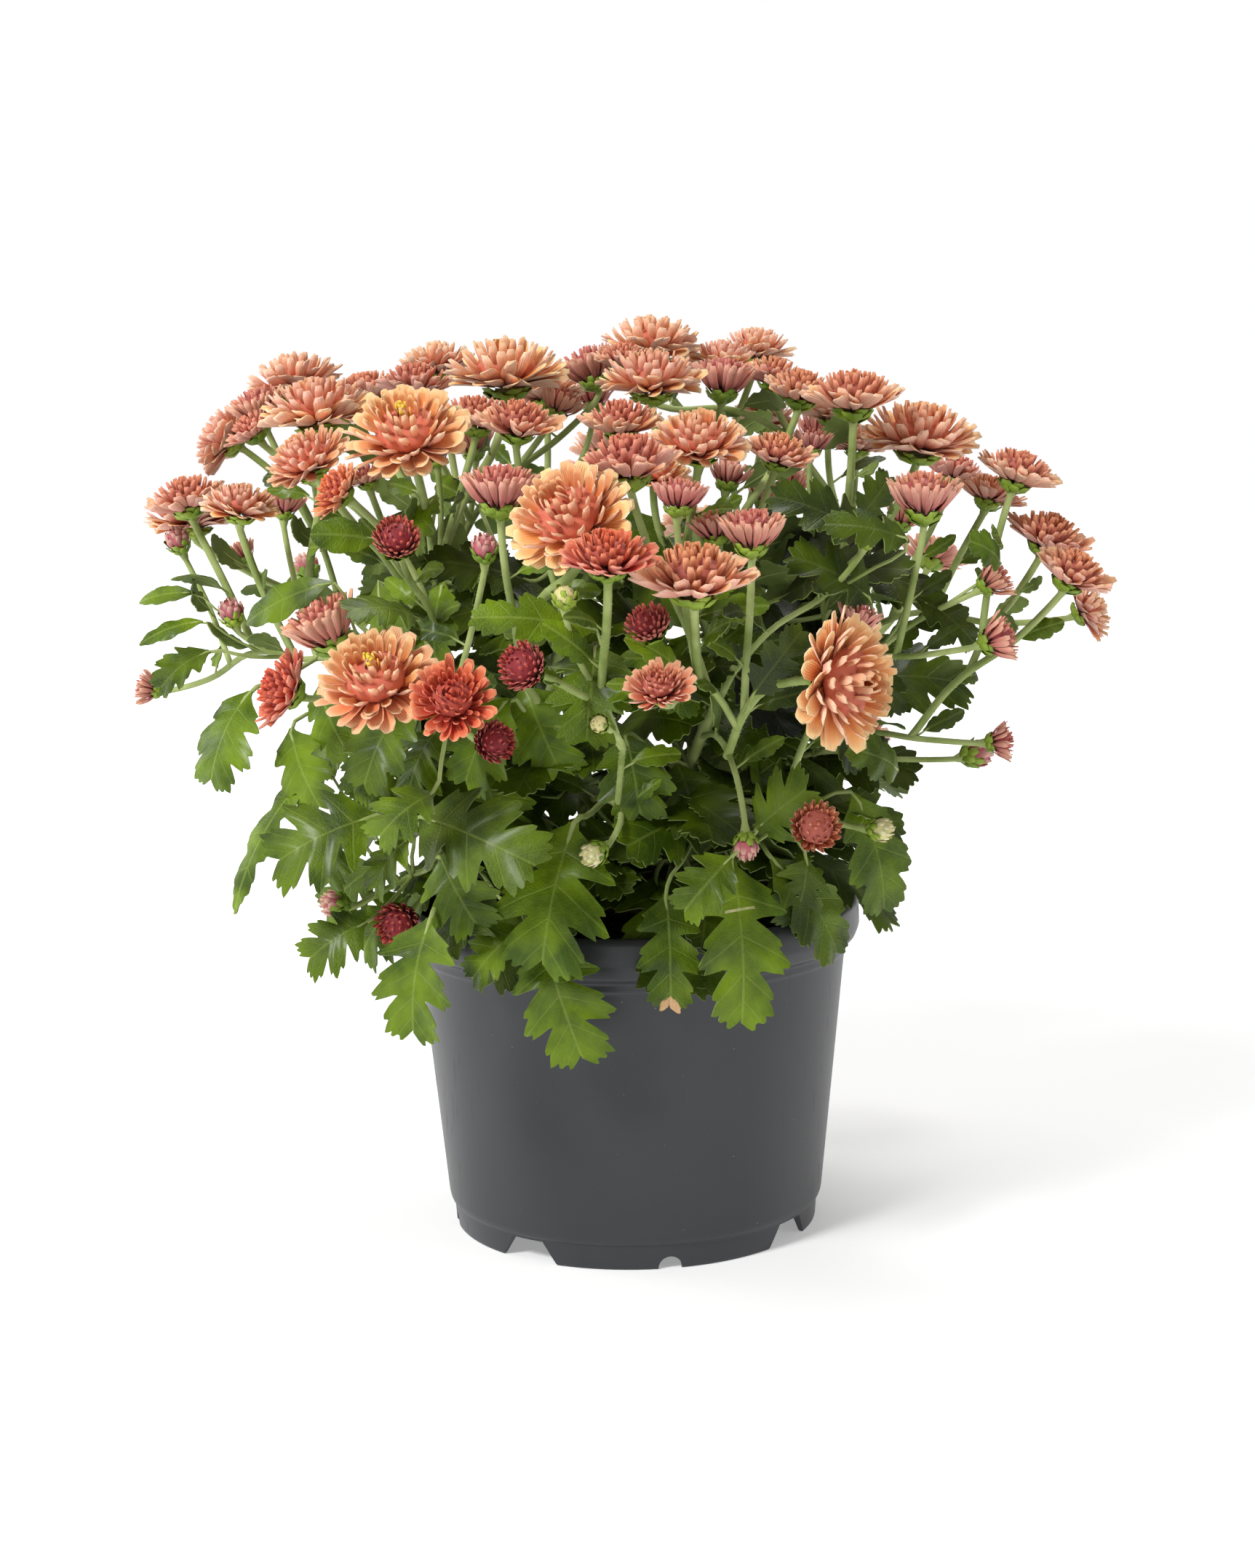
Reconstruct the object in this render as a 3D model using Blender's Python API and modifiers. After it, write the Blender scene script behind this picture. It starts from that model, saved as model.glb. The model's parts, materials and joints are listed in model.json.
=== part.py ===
"""Pot chrysanthemum: a garden mum in full bloom, in a round nursery pot.

The part is in metres, +Z up, with its origin on the floor under the middle of the pot and the
front of the plant towards -Y. Four cuttings stand in holes in the compost and fork just above it.
Each carries its leaves, small heads and buds; the wide heads sit on the calyx cups of their stalks.
"""

import math
import random
from collections import namedtuple

import bmesh
import bpy
from mathutils import Matrix, Vector, noise
from mathutils.geometry import normal

MM = 0.001
GAP = 0.3 * MM  # clearance between pieces that touch
UP = Vector((0, 0, 1))
FLAT = math.radians(0.2)  # faces that differ by less are one flat face
SHORT_EDGE = 0.8 * MM  # edges that a Boolean leaves shorter than this are closed up
KEPT_FACETS = 0.80  # share of a leafy stem's facets that are kept

# The pot: radii and heights
RIM_RADIUS = 95 * MM
RIM_TOP = 137 * MM
RIM_BOTTOM = 118.5 * MM
COLLAR_RADIUS = 89.5 * MM
COLLAR_BOTTOM = 114.5 * MM
BODY_TOP_RADIUS = 88.8 * MM
STEP_RADIUS = 78.6 * MM
STEP_HEIGHT = 10.3 * MM
FOOT_RADIUS = 75.9 * MM
FLOOR_TOP = 11.5 * MM
WALL = 1.5 * MM
POT_SIDES = 28
FOOT_NOTCHES = 4
NOTCH_TURN = math.radians(-35)  # first drain notch, from the front of the pot
DRAIN_RING = 52 * MM
DRAIN_RADIUS = 5 * MM

# The compost and the stems that stand in it
SOIL_EDGE = 126 * MM
SOIL_TOP = 137 * MM
SOIL_RELIEF = 4 * MM
STEM_FOOT = 95 * MM
STEM_RING = 27 * MM
STEM_RADIUS = 2.6 * MM
STALK_RADIUS = 1.5 * MM
ROOT = 0.55  # a stalk narrows to this share where it is sunk in the wood
FORK_BELOW = 62 * MM  # how far below a head its stalk leaves the branch
ASIDE = 2.6 * MM  # stalks keep this far inside their cutting's quarter
LEAFY_STEMS = 4
FORKS = 2  # branches that each cutting divides into

# The dome that the flower heads stand on
DOME_CENTRE = Vector((0, 0, 0.235))
DOME_RADII = Vector((0.205, 0.200, 0.148))

# The point of view that the sights below are taken from, with its lens in pixels
EYE = Vector((-0.0007, -1.0, 0.3245))
EYE_PITCH = math.radians(8.03)
EYE_ROLL = math.radians(-0.94)
EYE_FOCAL = 3342
VIEW_CENTRE = (862.5, 1078)

Head = namedtuple("Head", "kind u v depth width faces")
Leaf = namedtuple("Leaf", "base forward tip tip_forward width")

# One line a head: its kind, the sight of its middle (pixels across and down), its depth in the
# dome from 1 at the near side to -1 at the far side, its width in mm, and where it faces.
HEADS = [
    Head(*row)
    for row in (
        ("open", 406, 522, -0.55, 40, (-2, 1, 9)),
        ("open", 432, 560, 0.05, 46, (-1, -1, 9)),
        ("cup", 357, 566, -0.15, 24, (-3, -1, 8)),
        ("open", 308, 602, -0.40, 32, (-8, 1, 5)),
        ("young", 345, 590, 0.15, 24, (-5, -1, 7)),
        ("young", 503, 538, -0.50, 32, None),
        ("young", 572, 526, -0.15, 32, (0, 0, 9)),
        ("open", 600, 500, -0.75, 34, None),
        ("open", 697, 508, -0.05, 49, (0, -1, 9)),
        ("open", 750, 536, -0.70, 36, None),
        ("open", 559, 592, 0.75, 45, (-1, -6, 7)),
        ("open", 421, 630, 0.55, 35, (-4, -3, 8)),
        ("young", 656, 572, 0.30, 31, (1, -1, 9)),
        ("young", 712, 580, 0.55, 32, (1, -2, 9)),
        ("cup", 768, 558, -0.10, 20, (4, 0, 8)),
        ("cup", 597, 626, 0.25, 17, None),
        ("cup", 650, 616, -0.30, 19, None),
        ("young", 256, 684, 0.25, 33, (-2, -1, 9)),
        ("open", 330, 694, 0.55, 30, (1, -1, 9)),
        ("open", 263, 708, -0.20, 38, (-1, 0, 9)),
        ("cup", 391, 698, 0.10, 17, (1, 0, 9)),
        ("young", 462, 675, 0.80, 24, (-7, -3, 5)),
        ("young", 503, 656, 0.20, 20, None),
        ("button", 546, 744, 0.90, 17, (0, -7, 6)),
        ("bud", 666, 762, 0.85, 11, (0, -3, 9)),
        ("bud", 247, 750, 0.10, 12, (-2, -3, 7)),
        ("cup", 334, 764, -0.50, 15, (-4, 2, 7)),
        ("bud", 320, 850, 0.30, 12, (-2, -2, 9)),
        ("cup", 687, 682, 0.75, 27, (0, -1, 9)),
        ("open", 782, 708, 0.85, 46, (-3, -6, 6)),
        ("young", 835, 764, 0.95, 33, (0, -3, 9)),
        ("cup", 450, 868, 0.80, 29, (-4, -1, 8)),
        ("open", 516, 932, 0.95, 42, (-1, -6, 6)),
        ("young", 388, 947, 0.75, 31, (-8, -3, 4)),
        ("young", 622, 962, 1.00, 29, (0, -8, 5)),
        ("button", 722, 918, 1.00, 17, (-4, -7, 3)),
        ("button", 892, 862, 0.85, 16, (-3, -5, 7)),
        ("green", 776, 826, 0.90, 10, (0, -3, 9)),
        ("cup", 208, 947, 0.20, 15, (-9, 0, 2)),
        ("bud", 424, 788, -0.80, 14, None),
        ("bud", 439, 824, -0.80, 12, None),
        ("cup", 503, 750, -0.30, 17, None),
        ("open", 899, 470, -0.40, 42, (0, 0, 9)),
        ("cup", 815, 510, -0.20, 26, (-3, 0, 9)),
        ("young", 856, 493, 0.00, 25, None),
        ("open", 895, 519, 0.30, 41, (0, -1, 9)),
        ("open", 994, 496, -0.50, 32, None),
        ("cup", 994, 528, 0.10, 25, (1, 0, 9)),
        ("open", 1040, 480, -0.80, 32, None),
        ("young", 1062, 514, -0.10, 28, (1, 0, 9)),
        ("young", 1103, 536, 0.15, 31, (2, -1, 9)),
        ("young", 1173, 543, 0.50, 38, (0, -1, 9)),
        ("open", 1142, 566, -0.30, 25, None),
        ("young", 853, 578, 0.50, 31, (0, -1, 9)),
        ("open", 1265, 597, 0.30, 46, (1, -2, 9)),
        ("open", 1180, 608, -0.30, 27, (1, 1, 8)),
        ("open", 960, 605, 0.60, 38, (0, -3, 9)),
        ("young", 861, 634, 0.80, 38, (-1, -1, 9)),
        ("young", 1071, 622, 0.60, 27, (2, -2, 8)),
        ("cup", 1115, 612, 0.10, 17, (1, 0, 9)),
        ("open", 904, 648, 0.55, 25, (2, -3, 7)),
        ("cup", 1001, 658, 0.20, 18, (2, 2, 9)),
        ("cup", 933, 688, 0.75, 20, (1, 0, 9)),
        ("young", 1314, 648, -0.30, 27, None),
        ("young", 1362, 678, 0.00, 28, (3, 1, 8)),
        ("young", 1400, 648, 0.30, 33, (3, -1, 9)),
        ("cup", 1270, 690, 0.60, 28, (0, -1, 9)),
        ("cup", 982, 730, 0.50, 19, (-2, 0, 9)),
        ("cup", 1033, 738, 0.80, 24, (0, -1, 9)),
        ("young", 955, 793, 0.95, 41, (0, -2, 9)),
        ("cup", 1241, 716, -0.70, 18, None),
        ("young", 1442, 736, 0.20, 34, (3, -2, 8)),
        ("young", 1476, 786, 0.50, 33, (4, -2, 8)),
        ("open", 1496, 838, 0.00, 27, (8, -1, 4)),
        ("cup", 1362, 800, 0.50, 18, (7, -1, 5)),
        ("cup", 1366, 880, 0.60, 20, (8, -1, 3)),
        ("young", 906, 944, 1.00, 23, (-1, -6, 8)),
        ("open", 1164, 938, 0.95, 47, (7, -6, 0)),
        ("cup", 1178, 855, 0.60, 17, (3, 0, 9)),
        ("green", 1190, 745, 0.70, 9, None),
        ("cup", 1052, 686, -0.50, 18, None),
        ("cup", 1090, 668, -0.60, 18, None),
        ("open", 1052, 572, -0.60, 30, None),
        ("cup", 815, 550, -0.70, 20, None),
        ("button", 677, 1021, 0.95, 15, (4, -7, 2)),
        ("bud", 468, 1244, 0.85, 12, (-9, -1, 2)),
        ("button", 549, 1270, 1.00, 18, (-2, -8, -1)),
        ("bud", 823, 1170, 0.70, 11, (-6, -4, -3)),
        ("green", 826, 997, 0.90, 8, (-3, -5, 2)),
        ("bud", 1025, 1156, 0.75, 11, (0, -3, -9)),
        ("button", 1120, 1138, 0.80, 19, (1, -9, 3)),
        ("bud", 1202, 1140, 0.60, 11, (9, -3, 0)),
        ("cup", 1370, 1020, 0.40, 16, (9, -1, 1)),
        ("bud", 1334, 1038, 0.10, 14, (8, 1, 2)),
    )
]
MIDDLE = 0.18  # how far a head's middle is from its seat, in widths
FULL = 1.05  # a ring of few petal tips is made this much wider than the head looks
BACK_HEADS = 10  # heads on the far side, which the front view hides
OWN_HEADS = 50  # the widest heads are pieces of their own
SEED = 7

# One line a large leaf: the sights of its blade's base and tip, how far each stands in front of
# the pot's axis in mm, and the blade's width in mm.
LEAVES = [
    Leaf(*row)
    for row in (
        ((592, 1262), 116, (568, 1420), 128, 36),
        ((345, 950), 60, (290, 1073), 70, 34),
        ((430, 1056), 60, (321, 1257), 66, 15),
        ((518, 1121), 108, (382, 1184), 114, 38),
        ((577, 1123), 118, (735, 1190), 148, 38),
        ((790, 1130), 104, (745, 1325), 122, 46),
        ((745, 1290), 104, (800, 1455), 112, 36),
        ((720, 1275), 102, (650, 1345), 104, 22),
        ((915, 1228), 108, (921, 1386), 118, 25),
        ((1005, 1180), 112, (1019, 1407), 122, 36),
        ((1060, 1180), 86, (1150, 1310), 84, 34),
        ((1172, 1090), 58, (1215, 1250), 60, 34),
        ((821, 882), 146, (806, 1017), 166, 30),
        ((1188, 742), 100, (1062, 682), 110, 26),
        ((1200, 830), 100, (1088, 765), 110, 26),
        ((1250, 745), 112, (1134, 720), 124, 18),
        ((1180, 712), 56, (1222, 655), 56, 16),
        ((1375, 775), 70, (1335, 745), 84, 16),
        ((1258, 822), 60, (1338, 885), 56, 20),
        ((268, 815), 30, (191, 829), 20, 8),
        ((279, 854), 40, (191, 887), 40, 9),
        ((289, 895), 52, (222, 945), 60, 24),
        ((518, 742), 128, (427, 735), 136, 14),
        ((457, 800), 126, (338, 858), 110, 14),
        ((574, 850), 128, (480, 840), 148, 22),
        ((822, 868), 150, (648, 850), 160, 20),
        ((1035, 955), 140, (1103, 865), 150, 16),
        ((1235, 1060), 60, (1165, 1030), 84, 20),
        ((1040, 1140), 108, (1108, 1085), 120, 28),
        ((1005, 1178), 130, (940, 1252), 138, 22),
        ((597, 1090), 140, (522, 1150), 150, 26),
        ((500, 1215), 104, (415, 1275), 106, 30),
        ((700, 960), 90, (640, 1075), 95, 34),
        ((720, 940), 80, (770, 1060), 85, 32),
        ((860, 1010), 85, (880, 1120), 95, 30),
        ((560, 960), 95, (500, 1080), 105, 30),
        ((610, 800), 90, (600, 920), 100, 26),
        ((520, 800), 80, (560, 930), 95, 26),
        ((660, 1040), 70, (700, 1150), 80, 30),
        ((930, 1050), 70, (960, 1150), 80, 28),
        ((1010, 930), 60, (1080, 1010), 70, 28),
        ((1120, 940), 50, (1170, 1060), 60, 26),
        ((1080, 1040), 40, (1180, 1130), 45, 30),
        ((950, 870), 80, (930, 980), 95, 24),
        ((870, 700), 60, (900, 800), 70, 22),
        ((730, 830), 60, (700, 900), 70, 24),
        ((440, 940), 60, (480, 1040), 75, 24),
        ((400, 1000), 60, (440, 1110), 70, 26),
        ((1040, 820), 50, (1080, 900), 60, 22),
        ((600, 680), 60, (570, 760), 70, 20),
        ((1180, 900), 40, (1230, 980), 50, 22),
        ((980, 960), 40, (1060, 1080), 50, 34),
        ((900, 900), 20, (980, 1010), 30, 34),
        ((700, 760), 20, (640, 880), 30, 34),
        ((800, 780), 0, (760, 900), 10, 34),
        ((560, 700), 0, (520, 800), 10, 30),
        ((640, 900), 30, (560, 1010), 40, 34),
        ((900, 1050), 10, (860, 1170), 20, 34),
        ((1020, 1060), 0, (1100, 1190), 10, 34),
        ((1150, 850), 0, (1210, 960), 10, 30),
        ((500, 980), 20, (430, 1080), 20, 30),
    )
]

# Half of a lobed leaf's edge, from the stalk to the tip: along the blade, and out to its half width
LOBED_EDGE = [
    (0.00, 0.00), (0.18, 0.80), (0.34, 0.46), (0.46, 1.00), (0.68, 0.96), (0.66, 0.48), (0.86, 0.56),
    (1.00, 0.00),
]
LOBED_RIBS = [(0, 2), (2, 5), (5, 7)]  # stretches of that edge that share a piece of midrib
PLAIN_EDGE = [(0.00, 0.00), (0.22, 0.80), (0.38, 0.48), (0.60, 1.00), (0.76, 0.52), (1.00, 0.00)]
PLAIN_RIBS = [(0, 2), (2, 5)]
SLIM_EDGE = [(0.00, 0.00), (0.28, 0.85), (0.60, 1.00), (1.00, 0.00)]
SLIM_RIBS = [(0, 1), (1, 2), (2, 3)]
INNER_EDGE = [(0.00, 0.00), (0.50, 1.00), (1.00, 0.00)]
INNER_RIBS = [(0, 2)]
LEAF_THICKNESS = 0.8 * MM
PETIOLE_WIDTH = 2.0 * MM
SLIM_WIDTH = 17 * MM  # narrower blades have a plain edge
RULE_LEAVES = 4  # leaves a fork by rule, at the back
FRONT_RULE_LEAVES = 2
INNER_LEAVES = 42  # places for short leaves inside each quarter, in levels of six
TO_LIGHT = Vector((0, -0.7, 0))  # how the leaves at the front of both sides turn

COLOURS = {  # linear colour and roughness
    "pot_plastic": ((0.055, 0.057, 0.065), 0.42),
    "compost": ((0.030, 0.018, 0.011), 0.95),
    "foliage": ((0.085, 0.200, 0.024), 0.45),
    "petals_open": ((0.800, 0.270, 0.105), 0.55),
    "petals_young": ((0.680, 0.145, 0.060), 0.55),
    "petals_mauve": ((0.420, 0.110, 0.105), 0.60),
}
PETALS = {"open": "petals_open", "young": "petals_young", "cup": "petals_mauve", "button": "petals_mauve"}


def clear_scene():
    for old in list(bpy.data.objects):
        bpy.data.objects.remove(old, do_unlink=True)


def material(name):
    made = bpy.data.materials.get(name) or bpy.data.materials.new(name)
    made.use_nodes = True
    shader = made.node_tree.nodes["Principled BSDF"]
    colour, roughness = COLOURS[name]
    shader.inputs["Base Color"].default_value = (*colour, 1)
    shader.inputs["Roughness"].default_value = roughness
    shader.inputs["Metallic"].default_value = 0
    return made


def collection(name):
    made = bpy.data.collections.new(name)
    bpy.context.scene.collection.children.link(made)
    return made


def object_of(bm, name, group):
    """A new object that holds the bmesh, which is freed."""
    mesh = bpy.data.meshes.new(name)
    bm.normal_update()
    bm.to_mesh(mesh)
    bm.free()
    made = bpy.data.objects.new(name, mesh)
    group.objects.link(made)
    return made


def apply_modifiers(obj):
    """The object's evaluated shape becomes its mesh."""
    bpy.context.view_layer.update()
    graph = bpy.context.evaluated_depsgraph_get()
    mesh = bpy.data.meshes.new_from_object(obj.evaluated_get(graph))
    obj.modifiers.clear()
    obj.data = mesh


def is_closed(mesh):
    bm = bmesh.new()
    bm.from_mesh(mesh)
    closed = all(edge.is_manifold for edge in bm.edges)
    bm.free()
    return closed


def can_close(edge):
    """Whether the edge's ends can meet at its first vertex with no pinch and no face turned over."""
    kept, gone = edge.verts
    beside = set(edge.link_faces)
    if any(kept in face.verts for face in gone.link_faces if face not in beside):
        return False
    shared = {e.other_vert(kept) for e in kept.link_edges} & {e.other_vert(gone) for e in gone.link_edges}
    thirds = {v for face in beside if len(face.verts) == 3 for v in face.verts}
    if not shared <= thirds:
        return False
    for face in gone.link_faces:
        if face in beside and len(face.verts) == 3:
            continue
        after = [kept.co if v == gone else v.co for v in face.verts if not (v == kept and face in beside)]
        if normal(after).dot(face.normal) < 0.9:
            return False
    return True


def close_up(obj, size):
    """Closes every edge shorter than this whose ends can meet."""
    bm = bmesh.new()
    bm.from_mesh(obj.data)
    for _ in range(3):
        bm.normal_update()
        for edge in sorted(bm.edges, key=lambda e: e.calc_length()):
            if edge.is_valid and edge.calc_length() < size and can_close(edge):
                kept, gone = edge.verts
                bmesh.ops.weld_verts(bm, targetmap={gone: kept})
    bmesh.ops.dissolve_limit(bm, angle_limit=FLAT, verts=bm.verts, edges=bm.edges)
    bm.to_mesh(obj.data)
    bm.free()


def cut_in_triangles(obj):
    """Cuts every face into triangles, with no two pairs of them along one edge."""
    bm = bmesh.new()
    bm.from_mesh(obj.data)
    trial = bm.copy()
    bmesh.ops.triangulate(trial, faces=trial.faces)
    pinched = [{v.index for v in edge.verts} for edge in trial.edges if not edge.is_manifold]
    trial.free()
    bm.verts.index_update()
    risky = [f for f in bm.faces if any(pair <= {v.index for v in f.verts} for pair in pinched)]
    bmesh.ops.poke(bm, faces=risky)
    bmesh.ops.triangulate(bm, faces=bm.faces)
    bm.to_mesh(obj.data)
    bm.free()


def thin_out(obj, share):
    """Keeps this share of the object's facets."""
    cut_in_triangles(obj)
    decimate = obj.modifiers.new("thin_out", "DECIMATE")
    decimate.ratio = share
    apply_modifiers(obj)


def simplify(obj):
    """Closes up the small facets that the Booleans leave, where the skin stays whole."""
    steps = [(close_up, SHORT_EDGE / 3), (close_up, SHORT_EDGE), (thin_out, KEPT_FACETS)]
    for step, amount in steps:
        whole = obj.data.copy()
        step(obj, amount)
        if not is_closed(obj.data):
            obj.data = whole


def combine(obj, pieces, operation, solver="MANIFOLD"):
    """Joins the pieces to the object, or cuts them from it, by one Boolean, and removes them."""
    group = collection("joined")
    for piece in pieces:
        group.objects.link(piece)
    boolean = obj.modifiers.new("combine", "BOOLEAN")
    boolean.operation = operation
    boolean.operand_type = "COLLECTION"
    boolean.collection = group
    boolean.solver = solver
    apply_modifiers(obj)
    for piece in pieces:
        bpy.data.objects.remove(piece, do_unlink=True)
    bpy.data.collections.remove(group)


def keep_largest(obj):
    """Drops the loose scraps that a cut leaves, all but the body with the most points."""
    bm = bmesh.new()
    bm.from_mesh(obj.data)
    left, bodies = set(bm.verts), []
    while left:
        seen, edge = set(), [left.pop()]
        while edge:
            vert = edge.pop()
            seen.add(vert)
            edge += [o for e in vert.link_edges if (o := e.other_vert(vert)) in left]
            left -= set(edge)
        bodies.append(seen)
    bodies.sort(key=len)
    bmesh.ops.delete(bm, geom=[v for body in bodies[:-1] for v in body], context="VERTS")
    bm.to_mesh(obj.data)
    bm.free()


def finish(obj, name, slot, group):
    """Names a piece, gives it its material and puts it in the model's collection."""
    obj.name = name
    obj.data.name = name
    obj.data.materials.clear()
    obj.data.materials.append(material(slot))
    for old in list(obj.users_collection):
        old.objects.unlink(obj)
    group.objects.link(obj)


# Where things stand


def sight(u, v, forward):
    """The point seen at pixel (u, v) that stands this far in front of the pot's axis."""
    ahead = Vector((0, math.cos(EYE_PITCH), -math.sin(EYE_PITCH)))
    above = Vector((0, math.sin(EYE_PITCH), math.cos(EYE_PITCH)))
    across, down = u - VIEW_CENTRE[0], v - VIEW_CENTRE[1]
    turned = Matrix.Rotation(-EYE_ROLL, 2) @ Vector((across, down))
    ray = ahead + Vector((1, 0, 0)) * turned.x / EYE_FOCAL - above * turned.y / EYE_FOCAL
    return EYE + ray * ((-forward - EYE.y) / ray.y)


def in_dome(u, v, depth):
    """The point seen at pixel (u, v) at this depth of the dome, 1 near and -1 far."""
    middle = sight(u, v, 0) - DOME_CENTRE
    share = 1 - (middle.x / DOME_RADII.x) ** 2 - (middle.z / DOME_RADII.z) ** 2
    half = DOME_RADII.y * math.sqrt(max(share, 0.04))
    return sight(u, v, depth * half)


def outward(point):
    """The direction square to the dome at a point, turned somewhat upwards."""
    off = point - DOME_CENTRE
    square = Vector((off.x / DOME_RADII.x**2, off.y / DOME_RADII.y**2, off.z / DOME_RADII.z**2))
    return (square.normalized() * 0.6 + UP * 0.75).normalized()


def placed_heads():
    """Every head as (kind, seat, axis, width in metres), widest first."""
    draw = random.Random(SEED)
    placed = []
    for head in HEADS:
        middle = in_dome(head.u, head.v, head.depth)
        axis = Vector(head.faces).normalized() if head.faces else outward(middle)
        placed.append([head.kind, middle - axis * MIDDLE * head.width * MM, axis, head.width * FULL * MM])
    for i in range(BACK_HEADS):
        low = i % 3 == 0
        turn = (i + 0.5) / BACK_HEADS - 0.5
        turn = math.radians(90 + turn * (70 if low else 132) + draw.uniform(-4, 4))
        lift = math.radians((-18, 16, 38)[i % 3] + draw.uniform(-5, 5))
        way = Vector((math.cos(lift) * math.cos(turn), math.cos(lift) * math.sin(turn), math.sin(lift)))
        seat = DOME_CENTRE + way * DOME_RADII
        kind, width = (("open", 42), ("young", 32), ("cup", 22), ("open", 36))[i % 4]
        placed.append([kind, seat, outward(seat), width * MM])
    placed.sort(key=lambda head: -head[3])
    part_heads(placed)
    return placed


def part_heads(placed):
    """Heads that would crowd each other move apart in depth, along the line of sight.

    Each keeps its width as seen, so one that moves away is made wider.
    """
    before = [(head[1] - EYE).length for head in placed]
    for _ in range(60):
        for i, (_, seat, axis, width) in enumerate(placed):
            for _, other_seat, other_axis, other_width in placed[:i]:
                here = seat + axis * width * 0.2
                there = other_seat + other_axis * other_width * 0.2
                room = (width + other_width) * 0.47
                close = room - (here - there).length
                if close > 0:
                    way = (here - EYE).normalized() * (1 if here.y > there.y else -1)
                    seat += way * close * 0.3
                    other_seat -= way * close * 0.3
    for head, distance in zip(placed, before):
        head[3] *= (head[1] - EYE).length / distance


def heading(turn):
    return Vector((math.cos(turn), math.sin(turn), 0))


def stem_path(k, fork):
    """The centreline of one fork of cutting k, from its foot in the compost up into the dome."""
    middle = heading(2 * math.pi * (k + 0.5) / LEAFY_STEMS)
    way = heading(2 * math.pi * (k + (fork + 0.5) / FORKS) / LEAFY_STEMS)
    path = [middle * STEM_RING + UP * STEM_FOOT, middle * STEM_RING + UP * (SOIL_TOP + 9 * MM)]
    for out, height in ((45, 172), (72, 210), (104, 240)):
        path.append(way * out * MM + UP * height * MM)
    return path


def along(path, share):
    """The point at this share of a path's points."""
    spot = share * (len(path) - 1)
    i = min(int(spot), len(path) - 2)
    return path[i].lerp(path[i + 1], spot - i)


def in_quarter(point, k):
    """The point moved, if need be, to stand well inside the quarter of cutting k."""
    middle = heading(2 * math.pi * (k + 0.5) / LEAFY_STEMS)
    moved = point.copy()
    for i in range(2):
        if moved[i] * middle[i] < ASIDE * abs(middle[i]):
            moved[i] = math.copysign(ASIDE, middle[i])
    return moved


def crossing(line, head, heads):
    """How deep a stalk's centreline runs into the flat cylinders around the other heads."""
    depth = 0
    middle = (line[0] + line[-1]) / 2
    reach = (line[0] - line[-1]).length
    spots = [along(line, i / 12) for i in range(13)]
    for _, seat, axis, width in heads:
        if seat == head[1] or (seat - middle).length > reach + width:
            continue
        for spot in spots:
            height = (spot - seat).dot(axis)
            off = (spot - seat - axis * height).length
            room = min(width / 2 + 2 * MM - off, height + 4 * MM, width * 0.48 + 2 * MM - height)
            depth += max(room, 0)
    return depth


def stalk_lines(start, neck, axis, k):
    """Ways for a stalk to run from the wood to a head, straight and more or less bent."""
    length = (neck - start).length
    rise = ((neck - start).normalized() + UP).normalized()
    count = 3 if length < SHORT_STALK else 4
    lines = []
    for pull, push in ((0.35, 0.3), (0.15, 0.15), (0.5, 0.45)):
        line = bend(start, start + rise * length * pull, neck - axis * length * push, neck, count)
        lines.append([line[0]] + [in_quarter(p, k) for p in line[1:-1]] + [line[-1]])
    return lines


def branches(k, heads):
    """Every stalk of cutting k as (head, centreline), and points on all of its wood.

    Heads are taken from the middle outwards, so that later stalks fork from earlier ones, and
    each takes the nearby fork and the bend that best clear the other heads.
    """
    wood = [along(stem_path(k, fork), 0.28 + 0.72 * i / 24) for fork in range(FORKS) for i in range(25)]
    middle = stem_path(k, 0)[1]
    mine = [head for head in heads if sector(head[1]) == k]
    mine.sort(key=lambda head: (head[1] - middle).length)
    grown = []
    for head in mine:
        kind, seat, axis, width = head
        neck = seat - axis * SEAT[kind] * width * 0.5
        back = (neck - middle).normalized()
        aim = neck - (axis + back).normalized() * FORK_BELOW
        starts = [p for p in wood if (p - neck).length > 16 * MM]
        starts.sort(key=lambda p: (p - aim).length)
        choices = []
        for start in starts[:30]:
            for line in stalk_lines(start, neck, axis, k):
                choices.append((crossing(line, head, heads) * 6 + (start - aim).length, line))
        line = min(choices, key=lambda pair: pair[0])[1]
        grown.append((head, line))
        wood += [along(line, i / 10) for i in range(2, 7)]
    return grown, wood


def bend(start, pull, push, end, count):
    """Points on a smooth curve from start to end."""
    points = []
    for i in range(count):
        t = i / (count - 1)
        a, b, c, d = (1 - t) ** 3, 3 * t * (1 - t) ** 2, 3 * t * t * (1 - t), t**3
        points.append(start * a + pull * b + push * c + end * d)
    return points


def sector(point):
    """The cutting whose share of the circle holds the point."""
    turn = math.atan2(point.y, point.x) / (2 * math.pi) % 1
    return int(turn * LEAFY_STEMS) % LEAFY_STEMS


# Shapes


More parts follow.
